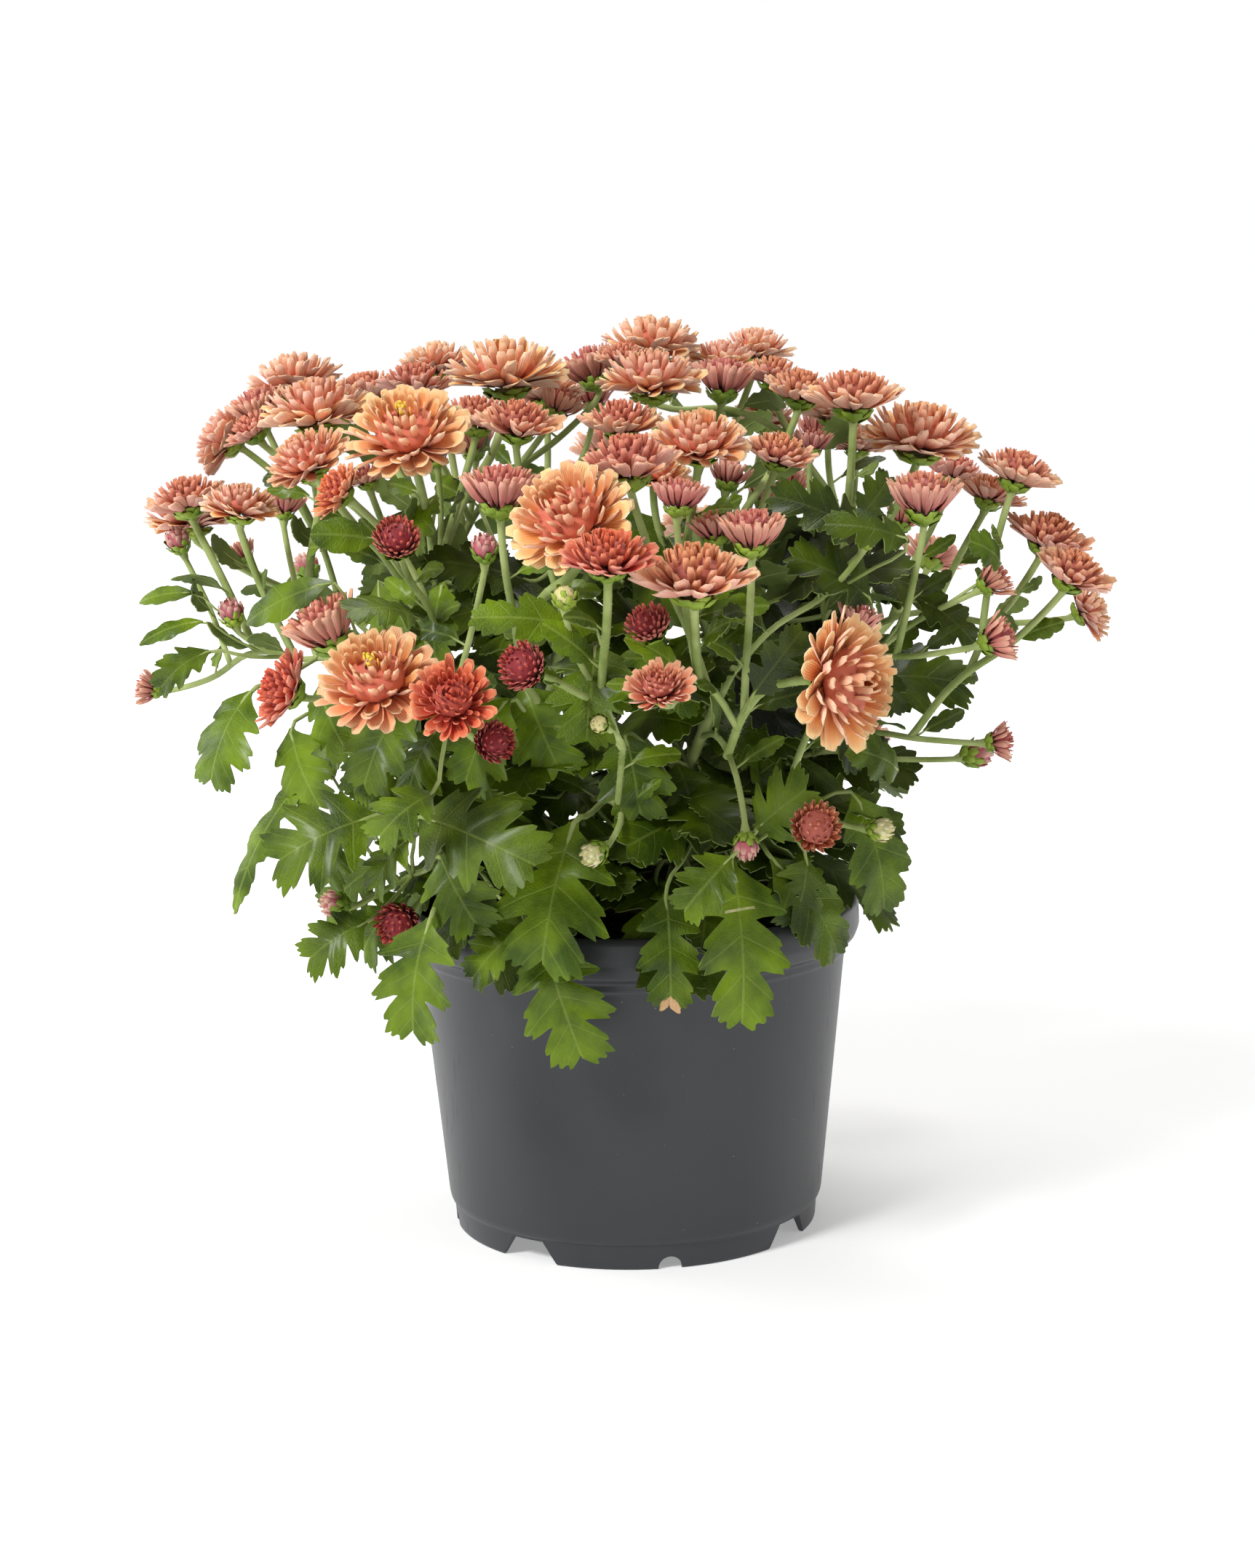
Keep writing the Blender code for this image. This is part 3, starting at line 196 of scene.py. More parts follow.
# %% The large leaves
LEAVES = [
    Leaf(*row)
    for row in (
        ((592, 1262), 116, (568, 1420), 128, 36),
        ((345, 950), 60, (290, 1073), 70, 34),
        ((430, 1056), 60, (321, 1257), 66, 15),
        ((518, 1121), 108, (382, 1184), 114, 38),
        ((577, 1123), 118, (735, 1190), 148, 38),
        ((790, 1130), 104, (745, 1325), 122, 46),
        ((745, 1290), 104, (800, 1455), 112, 36),
        ((720, 1275), 102, (650, 1345), 104, 22),
        ((915, 1228), 108, (921, 1386), 118, 25),
        ((1005, 1180), 112, (1019, 1407), 122, 36),
        ((1060, 1180), 86, (1150, 1310), 84, 34),
        ((1172, 1090), 58, (1215, 1250), 60, 34),
        ((821, 882), 146, (806, 1017), 166, 30),
        ((1188, 742), 100, (1062, 682), 110, 26),
        ((1200, 830), 100, (1088, 765), 110, 26),
        ((1250, 745), 112, (1134, 720), 124, 18),
        ((1180, 712), 56, (1222, 655), 56, 16),
        ((1375, 775), 70, (1335, 745), 84, 16),
        ((1258, 822), 60, (1338, 885), 56, 20),
        ((268, 815), 30, (191, 829), 20, 8),
        ((279, 854), 40, (191, 887), 40, 9),
        ((289, 895), 52, (222, 945), 60, 24),
        ((518, 742), 128, (427, 735), 136, 14),
        ((457, 800), 126, (338, 858), 110, 14),
        ((574, 850), 128, (480, 840), 148, 22),
        ((822, 868), 150, (648, 850), 160, 20),
        ((1035, 955), 140, (1103, 865), 150, 16),
        ((1235, 1060), 60, (1165, 1030), 84, 20),
        ((1040, 1140), 108, (1108, 1085), 120, 28),
        ((1005, 1178), 130, (940, 1252), 138, 22),
        ((597, 1090), 140, (522, 1150), 150, 26),
        ((505, 1268), 100, (425, 1318), 104, 26),
        ((700, 960), 90, (640, 1075), 95, 34),
        ((720, 940), 80, (770, 1060), 85, 32),
        ((860, 1010), 85, (880, 1120), 95, 30),
        ((560, 960), 95, (500, 1080), 105, 30),
        ((610, 800), 90, (600, 920), 100, 26),
        ((520, 800), 80, (560, 930), 95, 26),
        ((660, 1040), 70, (700, 1150), 80, 30),
        ((930, 1050), 70, (960, 1150), 80, 28),
        ((1010, 930), 60, (1080, 1010), 70, 28),
        ((1120, 940), 50, (1170, 1060), 60, 26),
        ((1080, 1040), 40, (1180, 1130), 45, 30),
        ((950, 870), 80, (930, 980), 95, 24),
        ((870, 700), 60, (900, 800), 70, 22),
        ((730, 830), 60, (700, 900), 70, 24),
        ((440, 940), 60, (480, 1040), 75, 24),
        ((400, 1000), 60, (440, 1110), 70, 26),
        ((1040, 820), 50, (1080, 900), 60, 22),
        ((600, 680), 60, (570, 760), 70, 20),
        ((1180, 900), 40, (1230, 980), 50, 22),
        ((980, 960), 40, (1060, 1080), 50, 34),
        ((900, 900), 20, (980, 1010), 30, 34),
        ((700, 760), 20, (640, 880), 30, 34),
        ((800, 780), 0, (760, 900), 10, 34),
        ((560, 700), 0, (520, 800), 10, 30),
        ((640, 900), 30, (560, 1010), 40, 34),
        ((900, 1050), 10, (860, 1170), 20, 34),
        ((1020, 1060), 0, (1100, 1190), 10, 34),
        ((1150, 850), 0, (1210, 960), 10, 30),
        ((500, 980), 20, (430, 1080), 20, 30),
    )
]
print("Large leaves in the table:", len(LEAVES))

# %% [markdown]
# A sight becomes a point by following the line from the eye through that pixel, as far as the
# depth says. The eye's place, its pitch and roll and its focal length are those of the camera at
# the end of this lesson. The dome is the ellipsoid that the heads of a pinched plant fill.

# %% From sights to points
EYE = Vector((-0.0007, -1.0, 0.3245))
EYE_PITCH = math.radians(8.03)
EYE_ROLL = math.radians(-0.94)
EYE_FOCAL = 3342  # pixels of the front view
VIEW_CENTRE = (862.5, 1078)
DOME_CENTRE = Vector((0, 0, 0.235))
DOME_RADII = Vector((0.205, 0.200, 0.148))
LEAST_DEPTH = 0.04  # heads at the very edge of the dome still have some depth to stand in
FACE_OUT = 0.6
FACE_UP = 0.75


def sight(u, v, forward):
    """The point seen at pixel (u, v) that stands this far in front of the pot's axis."""
    ahead = Vector((0, math.cos(EYE_PITCH), -math.sin(EYE_PITCH)))
    above = Vector((0, math.sin(EYE_PITCH), math.cos(EYE_PITCH)))
    across, down = u - VIEW_CENTRE[0], v - VIEW_CENTRE[1]
    turned = Matrix.Rotation(-EYE_ROLL, 2) @ Vector((across, down))
    ray = ahead + Vector((1, 0, 0)) * turned.x / EYE_FOCAL - above * turned.y / EYE_FOCAL
    return EYE + ray * ((-forward - EYE.y) / ray.y)


def in_dome(u, v, depth):
    """The point seen at pixel (u, v) at this depth of the dome, 1 near and -1 far."""
    middle = sight(u, v, 0) - DOME_CENTRE
    share = 1 - (middle.x / DOME_RADII.x) ** 2 - (middle.z / DOME_RADII.z) ** 2
    half = DOME_RADII.y * math.sqrt(max(share, LEAST_DEPTH))
    return sight(u, v, depth * half)


def outward(point):
    """The direction square to the dome at a point, turned somewhat upwards."""
    off = point - DOME_CENTRE
    square = Vector((off.x / DOME_RADII.x**2, off.y / DOME_RADII.y**2, off.z / DOME_RADII.z**2))
    return (square.normalized() * FACE_OUT + UP * FACE_UP).normalized()


print("The first head stands at", [round(x, 3) for x in in_dome(*HEADS[0][1:4])])

# %% [markdown]
# Heads that would crowd each other slide apart along their own lines of sight, so the front view
# stays as it is while every head gets its room. A few more stand at the back by rule.

# %% Room for every head
MIDDLE = 0.18  # from a head's seat to the middle that is seen, as a share of its width
FULL = 1.05  # how much wider a head is than the table says, so that the dome is full
CLOSE = 0.47  # heads stand apart by at least this share of their widths together
BULK = 0.2  # from a head's seat to the middle of its bulk, as a share of its width
GIVE_WAY = 0.3  # the share of an overlap that each of two heads moves back in one round
ROUNDS = 60
BACK_HEADS = 10
BACK_KINDS = (("open", 42), ("young", 32), ("cup", 22), ("open", 36))
BACK_LEVELS = ((-18, 70), (16, 132), (38, 132))  # how high, and over what span, in degrees
OWN_HEADS = 50


def part_heads(placed):
    """Heads that would crowd each other move apart in depth, along the line of sight.

    Each keeps its width as seen, so one that moves away is made wider.
    """
    before = [(head[1] - EYE).length for head in placed]
    for _ in range(ROUNDS):
        for i, (_, seat, axis, width) in enumerate(placed):
            for _, other_seat, other_axis, other_width in placed[:i]:
                here = seat + axis * width * BULK
                there = other_seat + other_axis * other_width * BULK
                room = (width + other_width) * CLOSE
                close = room - (here - there).length
                if close > 0:
                    way = (here - EYE).normalized() * (1 if here.y > there.y else -1)
                    seat += way * close * GIVE_WAY
                    other_seat -= way * close * GIVE_WAY
    for head, distance in zip(placed, before):
        head[3] *= (head[1] - EYE).length / distance


def placed_heads():
    """Every head as (kind, seat, axis, width in metres), widest first."""
    draw = random.Random(SEED)
    placed = []
    for head in HEADS:
        middle = in_dome(head.u, head.v, head.depth)
        axis = Vector(head.faces).normalized() if head.faces else outward(middle)
        placed.append([head.kind, middle - axis * MIDDLE * head.width * MM, axis, head.width * FULL * MM])
    for i in range(BACK_HEADS):
        lift, span = BACK_LEVELS[i % 3]
        turn = (i + 0.5) / BACK_HEADS - 0.5
        turn = math.radians(90 + turn * span + draw.uniform(-4, 4))
        lift = math.radians(lift + draw.uniform(-5, 5))
        way = Vector((math.cos(lift) * math.cos(turn), math.cos(lift) * math.sin(turn), math.sin(lift)))
        seat = DOME_CENTRE + way * DOME_RADII
        kind, width = BACK_KINDS[i % 4]
        placed.append([kind, seat, outward(seat), width * MM])
    placed.sort(key=lambda head: -head[3])
    part_heads(placed)
    return placed


heads = placed_heads()
own = heads[:OWN_HEADS]
print("Heads placed:", len(heads), "widest:", round(heads[0][3] * 1000, 1), "mm")

# %% [markdown]
# Four cuttings stand in the compost and fork just above it. A path is only a short list of points
# here; it turns into a ribbed stem later.

# %% The cuttings as lines
SOIL_TOP = 137 * MM
STEM_FOOT = 95 * MM
STEM_RING = 27 * MM
FORK_ABOVE_SOIL = 9 * MM
FORK_POINTS = ((45, 172), (72, 210), (104, 240))  # out and up, in mm
LEAFY_STEMS = 4
FORKS = 2
ASIDE = 2.6 * MM  # stalks keep this far inside their cutting's quarter


def heading(turn):
    """The level direction at this turn about the pot's axis."""
    return Vector((math.cos(turn), math.sin(turn), 0))


def stem_path(k, fork):
    """The centreline of one fork of cutting k, from its foot in the compost up into the dome."""
    middle = heading(2 * math.pi * (k + 0.5) / LEAFY_STEMS)
    way = heading(2 * math.pi * (k + (fork + 0.5) / FORKS) / LEAFY_STEMS)
    path = [middle * STEM_RING + UP * STEM_FOOT, middle * STEM_RING + UP * (SOIL_TOP + FORK_ABOVE_SOIL)]
    for out, height in FORK_POINTS:
        path.append(way * out * MM + UP * height * MM)
    return path


def along(path, share):
    """The point at this share of a path's points."""
    spot = share * (len(path) - 1)
    i = min(int(spot), len(path) - 2)
    return path[i].lerp(path[i + 1], spot - i)


def in_quarter(point, k):
    """The point moved, if need be, to stand well inside the quarter of cutting k."""
    middle = heading(2 * math.pi * (k + 0.5) / LEAFY_STEMS)
    moved = point.copy()
    for i in range(2):
        if moved[i] * middle[i] < ASIDE * abs(middle[i]):
            moved[i] = math.copysign(ASIDE, middle[i])
    return moved


def sector(point):
    """The cutting whose share of the circle holds the point."""
    turn = math.atan2(point.y, point.x) / (2 * math.pi) % 1
    return int(turn * LEAFY_STEMS) % LEAFY_STEMS


print("The first fork ends at", [round(x, 3) for x in stem_path(0, 0)[-1]])

# %% [markdown]
# Every head's stalk leaves the nearest wood at the fork and with the bend that best clear the
# other heads, which is how a pinched plant fills its dome.

# %% Stalks as lines
FORK_BELOW = 62 * MM  # how far below a head its stalk leaves the wood
SHORT_STALK = 60 * MM
BENDS = ((0.35, 0.3), (0.15, 0.15), (0.5, 0.45))  # both handles of a curve, as shares of its length
NEAREST_FORK = 16 * MM
STARTS = 30  # how many places on the wood a stalk tries
STALK_ROOM = 2 * MM  # between a stalk and the side or top of another head
BELOW_HEAD = 4 * MM
HEAD_DEPTH = 0.48  # as a share of the head's width
IN_THE_WAY = 6  # what running through other heads weighs, against the way round
SEAT = {"open": 0.17, "young": 0.20, "cup": 0.34, "button": 0.34, "bud": 0.45, "green": 0.5}


def crossing(line, head, heads):
    """How deep a stalk's centreline runs into the flat cylinders around the other heads."""
    depth = 0
    middle = (line[0] + line[-1]) / 2
    reach = (line[0] - line[-1]).length
    spots = [along(line, i / 12) for i in range(13)]
    for _, seat, axis, width in heads:
        if seat == head[1] or (seat - middle).length > reach + width:
            continue
        for spot in spots:
            height = (spot - seat).dot(axis)
            off = (spot - seat - axis * height).length
            room = min(width / 2 + STALK_ROOM - off, height + BELOW_HEAD,
                       width * HEAD_DEPTH + STALK_ROOM - height)
            depth += max(room, 0)
    return depth


def bend(start, pull, push, end, count):
    """Points on a smooth curve from start to end."""
    points = []
    for i in range(count):
        t = i / (count - 1)
        a, b, c, d = (1 - t) ** 3, 3 * t * (1 - t) ** 2, 3 * t * t * (1 - t), t**3
        points.append(start * a + pull * b + push * c + end * d)
    return points


def stalk_lines(start, neck, axis, k):
    """Ways for a stalk to run from the wood to a head, straight and more or less bent."""
    length = (neck - start).length
    rise = ((neck - start).normalized() + UP).normalized()
    count = 3 if length < SHORT_STALK else 4
    lines = []
    for pull, push in BENDS:
        line = bend(start, start + rise * length * pull, neck - axis * length * push, neck, count)
        lines.append([line[0]] + [in_quarter(p, k) for p in line[1:-1]] + [line[-1]])
    return lines


def branches(k, heads):
    """Every stalk of cutting k as (head, centreline), and points on all of its wood, which begins
    well above the compost.

    Heads are taken from the middle outwards, so that later stalks fork from earlier ones, and
    each takes the nearby fork and the bend that best clear the other heads.
    """
    wood = []
    for fork in range(FORKS):
        wood += [along(stem_path(k, fork), 0.28 + 0.72 * i / 24) for i in range(25)]
    middle = stem_path(k, 0)[1]
    mine = [head for head in heads if sector(head[1]) == k]
    mine.sort(key=lambda head: (head[1] - middle).length)
    grown = []
    for head in mine:
        kind, seat, axis, width = head
        neck = seat - axis * SEAT[kind] * width * 0.5
        back = (neck - middle).normalized()
        aim = neck - (axis + back).normalized() * FORK_BELOW
        starts = [p for p in wood if (p - neck).length > NEAREST_FORK]
        starts.sort(key=lambda p: (p - aim).length)
        choices = []
        for start in starts[:STARTS]:
            for line in stalk_lines(start, neck, axis, k):
                detour = crossing(line, head, heads) * IN_THE_WAY
                choices.append((detour + (start - aim).length, line))
        line = min(choices, key=lambda pair: pair[0])[1]
        grown.append((head, line))
        wood += [along(line, i / 10) for i in range(2, 7)]
    return grown, wood


plans = [branches(k, heads) for k in range(LEAFY_STEMS)]
print("Stalks on each cutting:", [len(grown) for grown, wood in plans])

# %% [markdown]
# The large leaves of the table stand on the nearest wood. More leaves follow a rule: each line
# below gives how far up a fork a leaf leaves it, how far it rises or hangs, and the length of
# its stalk, the length of its blade and its width in millimetres. The front has fewer of them.

# %% Leaves as lines
RULE_LEAVES = (
    (0.30, -0.25, 32, 54, 35),
    (0.44, 0.05, 24, 52, 34),
    (0.60, 0.25, 20, 46, 28),
    (0.78, 0.45, 16, 38, 22),
)
FRONT_RULE_LEAVES = RULE_LEAVES[:2]
LEAF_STALK = 30 * MM
LEAF_STALK_RISE = 4 * MM


def rule_leaves(k):
    """Leaves along both forks by rule: outwards, in turn to the left and right, hanging lower down."""
    draw = random.Random(SEED + k)
    leaves = []
    for fork in range(FORKS):
        path = stem_path(k, fork)
        turn = 2 * math.pi * (k + (fork + 0.5) / FORKS) / LEAFY_STEMS
        rows = RULE_LEAVES if k < 2 else FRONT_RULE_LEAVES
        for i, (share, rise, stalk, length, width) in enumerate(rows):
            start = along(path, share)
            way = heading(turn + math.radians((13, -13)[i % 2] + draw.uniform(-4, 4)))
            rise += draw.uniform(-0.1, 0.1)
            base = start + (way + UP * 0.55).normalized() * stalk * MM
            tip = base + (way + UP * rise).normalized() * length * MM
            leaves.append((start, base, tip, width * MM, 0.9))
    return leaves


def lobing_of(leaf):
    """How far a leaf's edge is cut: slim ones little, large ones all the way."""
    if leaf.width < 15:
        return 0.25
    return 1.0 if leaf.forward > 95 else 0.7


def listed_leaves(k, wood):
    """The large leaves of the list whose blades stand in this cutting's share of the circle."""
    leaves = []
    middle = stem_path(k, 0)[1]
    for leaf in LEAVES:
        base = sight(*leaf.base, leaf.forward * MM)
        tip = sight(*leaf.tip, leaf.tip_forward * MM)
        if sector((base + tip) / 2) == k:
            aim = base + (middle - base).normalized() * LEAF_STALK + UP * LEAF_STALK_RISE
            start = min(wood, key=lambda p: (p - aim).length)
            leaves.append((start, base, tip, leaf.width * MM, lobing_of(leaf)))
    return leaves


leaf_lines = [listed_leaves(k, plans[k][1]) + rule_leaves(k) for k in range(LEAFY_STEMS)]
print("Leaves on each cutting:", [len(leaves) for leaves in leaf_lines])

# %% [markdown]
# ## Tools for the whole lesson
#
# A node tree could be drawn by hand in the editor. Written out in a script it can be read, run
# again and changed in one place. One small function that adds a node with its settings and
# links, and one that only sets or links the inputs of a node, are all that this takes. Colours
# are given as the sRGB hex values that a colour picker shows, and turned linear once, because
# Blender's sockets expect that.

# %% Colours and nodes
def linear(code):
    """An sRGB hex colour as linear red, green, blue and alpha."""
    parts = [int(code[i : i + 2], 16) / 255 for i in (1, 3, 5)]
    return tuple(c / 12.92 if c < 0.04045 else ((c + 0.055) / 1.055) ** 2.4 for c in parts) + (1.0,)


def plug(tree, node, links):
    """Sets or links a node's inputs, by name or by their order among those in use. A node given
    as a value stands for its first output in use."""
    in_use = [socket for socket in node.inputs if socket.enabled]
    for key, value in links.items():
        socket = in_use[key] if isinstance(key, int) else node.inputs[key]
        if isinstance(value, bpy.types.Node):
            value = next(output for output in value.outputs if output.enabled)
        if isinstance(value, bpy.types.NodeSocket):
            tree.links.new(value, socket)
        else:
            socket.default_value = value


def add(tree, kind, *links, stops=(), **settings):
    """Adds a node with its settings. Its inputs come in their order, or in a dict by name. A kind
    in capitals is the operation of a Math node, and stops are the colours of a ramp."""
    if kind.isupper():
        settings["operation"] = kind
        kind = "ShaderNodeMath"
    node = tree.nodes.new(kind)
    for name, value in settings.items():
        setattr(node, name, value)
    by_name = links and isinstance(links[0], dict)
    plug(tree, node, links[0] if by_name else dict(enumerate(links)))
    for i, (place, code) in enumerate(stops):
        colours = node.color_ramp.elements
        stop = colours[i] if i < 2 else colours.new(place)
        stop.position = place
        stop.color = linear(code)
    return node


def new_material(name):
    """A new material, its node tree and its shader."""
    made_of = bpy.data.materials.new(name)
    made_of.use_nodes = True
    return made_of, made_of.node_tree, made_of.node_tree.nodes["Principled BSDF"]


VECTOR = "ShaderNodeVectorMath"
MIX = "ShaderNodeMix"
RAMP = "ShaderNodeValToRGB"
NOISE = "ShaderNodeTexNoise"
BUMP = "ShaderNodeBump"
SPAN = "ShaderNodeMapRange"
SPLIT = "ShaderNodeSeparateXYZ"
PACK = "ShaderNodeCombineXYZ"
STORE = "GeometryNodeStoreNamedAttribute"
NAMED = "GeometryNodeInputNamedAttribute"
print("Middle grey is", round(linear("#808080")[0], 3), "in linear light")

# %% [markdown]
# A Geometry Nodes tree gets named inputs for its sizes, so that one tree grows every head or
# leaf. It runs on an empty mesh or a curve, and what it makes is turned into a plain mesh. Each
# tree joins what it makes to what came in, so several can run one after another.

# %% Node trees that grow a mesh
def new_tree(name, sizes):
    """A Geometry Nodes tree with inputs for these sizes and a material, and their sockets."""
    tree = bpy.data.node_groups.new(name, "GeometryNodeTree")
    tree.interface.new_socket("Geometry", in_out="INPUT", socket_type="NodeSocketGeometry")
    for label, value in sizes.items():
        kind = "NodeSocketInt" if isinstance(value, int) else "NodeSocketFloat"
        tree.interface.new_socket(label, in_out="INPUT", socket_type=kind).default_value = value
    tree.interface.new_socket("Material", in_out="INPUT", socket_type="NodeSocketMaterial")
    tree.interface.new_socket("Geometry", in_out="OUTPUT", socket_type="NodeSocketGeometry")
    return tree, add(tree, "NodeGroupInput").outputs


def end_tree(tree, sizes, made):
    """Realizes what was made, gives it the material, and joins it to what came in."""
    real = add(tree, "GeometryNodeRealizeInstances", made)
    painted = add(tree, "GeometryNodeSetMaterial", {"Geometry": real, "Material": sizes["Material"]})
    joined = add(tree, "GeometryNodeJoinGeometry", sizes["Geometry"])
    plug(tree, joined, {"Geometry": painted})
    add(tree, "NodeGroupOutput", joined)


def grow(name, steps, start=None):
    """Runs trees one after another, each with its sizes, and returns the plain mesh."""
    holder = bpy.data.objects.new(name, start or bpy.data.meshes.new(name))
    bpy.context.scene.collection.objects.link(holder)
    for tree, sizes in steps:
        step = holder.modifiers.new(tree.name, "NODES")
        step.node_group = tree
        for socket in tree.interface.items_tree:
            if socket.in_out == "INPUT" and socket.name in sizes:
                step[socket.identifier] = sizes[socket.name]
    graph = bpy.context.evaluated_depsgraph_get()
    mesh = bpy.data.meshes.new_from_object(holder.evaluated_get(graph))
    mesh.name = name
    bpy.data.objects.remove(holder, do_unlink=True)
    return mesh


print("Trees so far:", len(bpy.data.node_groups))

# %% [markdown]
# Meshes of one piece are joined into one object at the origin. A finished piece then rides on
# the model's one body, and the nodes of the CAD model that it stands for are hidden.

# %% Finished pieces
def join(name, meshes):
    """One object, at the origin, of all these meshes."""
    objects = [bpy.data.objects.new(name, mesh) for mesh in meshes]
    for obj in objects:
        bpy.context.scene.collection.objects.link(obj)
    if len(objects) > 1:
        with bpy.context.temp_override(active_object=objects[0], selected_editable_objects=objects):
            bpy.ops.object.join()
    objects[0].name = name
    return objects[0]


def triangles(obj):
    """How many triangles an object's faces make."""
    return sum(len(p.vertices) - 2 for p in obj.data.polygons)


def dress(obj, slot, *nodes):
    """The finished piece rides on the model's one body and stands for these CAD nodes."""
    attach(obj, "root")
    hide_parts(*nodes)
    made.append((obj.name, triangles(obj)))


made = []
print("Pieces so far:", len(made))

# %% [markdown]
# ## Petals
#
# A chrysanthemum's petals are florets, each a small flower with one long strap. They sit on a
# spiral, and each turns by the golden angle from the last, so no two lie over each other. The
# straps could be modelled one by one, or copied with a rule. Geometry Nodes follow the rule:
# every floret starts as a flat six-sided tube, and its spine is a curve in three points, from a
# root on the seat to a tip on an ellipse. The outer ones lie flat and the inner ones stand up
# and curl in. Two attributes go along for the colour: where a point is on its petal, and which
# floret it belongs to.

# %% Where a point of a petal goes
GOLDEN_ANGLE = math.pi * (3 - math.sqrt(5))
ROLL = 0.45  # the most that a petal turns about its own length, in radians
HALF_THICK = 0.012  # of a petal, as a share of the head's half width
PETAL_WIDTHS = [(0.0, 0.3), (0.3, 0.58), (0.6, 0.9), (0.82, 1.0), (0.93, 0.92), (1.0, 0.6)]


def set_curve(node, points, handles="AUTO"):
    """Gives a Float Curve node these points, rounded between them or straight."""
    curve = node.mapping.curves[0]
    while len(curve.points) < len(points):
        curve.points.new(0.5, 0.5)
    for spot, (x, y) in zip(curve.points, points):
        spot.location = (x, y)
        spot.handle_type = handles
    node.mapping.update()


def petal_place(tree, sizes):
    """Where each point of the tube goes, from its place on the petal and the floret's order."""
    petal = add(tree, SPLIT, add(tree, NAMED, {"Name": "petal"}, data_type="FLOAT_VECTOR")).outputs
    order = add(tree, SPLIT, add(tree, NAMED, {"Name": "order"}, data_type="FLOAT_VECTOR")).outputs
    chance = add(tree, VECTOR, add(tree, NAMED, {"Name": "chance"}, data_type="FLOAT_VECTOR"),
                 sizes["Disorder"], operation="SCALE")
    chance = add(tree, SPLIT, chance).outputs
    # The florets of a crowded zone come closer together towards the middle.
    late = add(tree, "SUBTRACT", 1.0, order[0])
    late = add(tree, "MULTIPLY_ADD", late, sizes["Crowd"], 1.0)
    share = add(tree, "MULTIPLY", order[0], late)
    even = add(tree, "ADD", petal[2], 0.5)
    closer = add(tree, "MULTIPLY_ADD", even, -0.6, 1.6)
    spine = add(tree, "MULTIPLY", even, closer)
    # The tip lies on the ellipse, and chance moves it by a few hundredths of the half width.
    tip = add(tree, MIX, share, sizes["Low Tip"], sizes["High Tip"])
    tip = add(tree, "MULTIPLY_ADD", chance[0], 0.06, tip)
    tip = add(tree, "MINIMUM", tip, 1.0)
    square = add(tree, "MULTIPLY_ADD", add(tree, "MULTIPLY", tip, tip), -1.0, 1.0)
    out = add(tree, "MULTIPLY", add(tree, "SQRT", square), sizes["Reach"])
    longer = add(tree, "MULTIPLY_ADD", chance[1], 0.07, 0.97)
    out = add(tree, "MULTIPLY", out, longer)
    high = add(tree, "MULTIPLY_ADD", tip, sizes["Crown"], sizes["Rim Height"])
    high = add(tree, "MULTIPLY_ADD", chance[2], 0.035, high)
    tip_point = add(tree, PACK, out, 0.0, high)
    inner = add(tree, "MULTIPLY_ADD", share, -0.92, 1.0)
    root_out = add(tree, "MULTIPLY", inner, sizes["Seat"])
    root_high = add(tree, "MULTIPLY_ADD", share, sizes["Root Rise"], sizes["Root Height"])
    root_point = add(tree, PACK, root_out, 0.0, root_high)
    # The spine is a curve from the root past a bulging middle to the tip.
    chord = add(tree, VECTOR, tip_point, root_point, operation="SUBTRACT")
    bulge = add(tree, MIX, share, sizes["Low Bulge"], sizes["High Bulge"])
    bulge = add(tree, "MULTIPLY_ADD", chance[0], 0.06, bulge)
    aside = add(tree, VECTOR, (0.0, 1.0, 0.0), chord, operation="CROSS_PRODUCT")
    aside = add(tree, VECTOR, aside, bulge, operation="SCALE")
    halfway = add(tree, VECTOR, chord, (0.5, 0.5, 0.5), root_point, operation="MULTIPLY_ADD")
    halfway = add(tree, VECTOR, halfway, aside)
    first = add(tree, MIX, spine, root_point, halfway, data_type="VECTOR")
    second = add(tree, MIX, spine, halfway, tip_point, data_type="VECTOR")
    centre = add(tree, MIX, spine, first, second, data_type="VECTOR")
    ahead = add(tree, VECTOR, add(tree, VECTOR, second, first, operation="SUBTRACT"),
                operation="NORMALIZE")
    square_to = add(tree, VECTOR, ahead, (0.0, 1.0, 0.0), operation="CROSS_PRODUCT")
    # Across the spine the petal has its width, its hollow and its roll.
    shape = add(tree, "ShaderNodeFloatCurve", {"Value": spine})
    set_curve(shape, PETAL_WIDTHS)
    wide = add(tree, MIX, share, sizes["Low Petal"], sizes["High Petal"])
    wide = add(tree, "MULTIPLY", wide, shape)
    across = add(tree, "MULTIPLY", petal[0], wide)
    hollow = add(tree, "MULTIPLY", petal[0], across)
    hollow = add(tree, "MULTIPLY", hollow, sizes["Hollow"])
    lift = add(tree, "MULTIPLY_ADD", petal[1], HALF_THICK, hollow)
    roll = add(tree, "MULTIPLY", chance[1], ROLL)
    tilted = add(tree, "ShaderNodeVectorRotate", {"Vector": add(tree, PACK, across, lift), "Angle": roll},
                 rotation_type="Z_AXIS")
    tilted = add(tree, SPLIT, tilted).outputs
    sideways = add(tree, PACK, 0.0, tilted[0])
    lifted = add(tree, VECTOR, square_to, tilted[1], operation="SCALE")
    at = add(tree, VECTOR, add(tree, VECTOR, centre, sideways), lifted)
    turn = add(tree, "MULTIPLY", order[1], GOLDEN_ANGLE)
    turn = add(tree, "MULTIPLY_ADD", chance[2], 0.1, turn)
    at = add(tree, "ShaderNodeVectorRotate", {"Vector": at, "Angle": turn}, rotation_type="Z_AXIS")
    return add(tree, VECTOR, at, sizes["Half Width"], operation="SCALE")


print("Golden angle:", round(math.degrees(GOLDEN_ANGLE), 1), "degrees")

# %% [markdown]
# The tree itself puts one tube for each floret on the spiral, gives each its order and its share
# of chance, and moves its points to their places. Petal edges stay crisp and the rest is smooth.

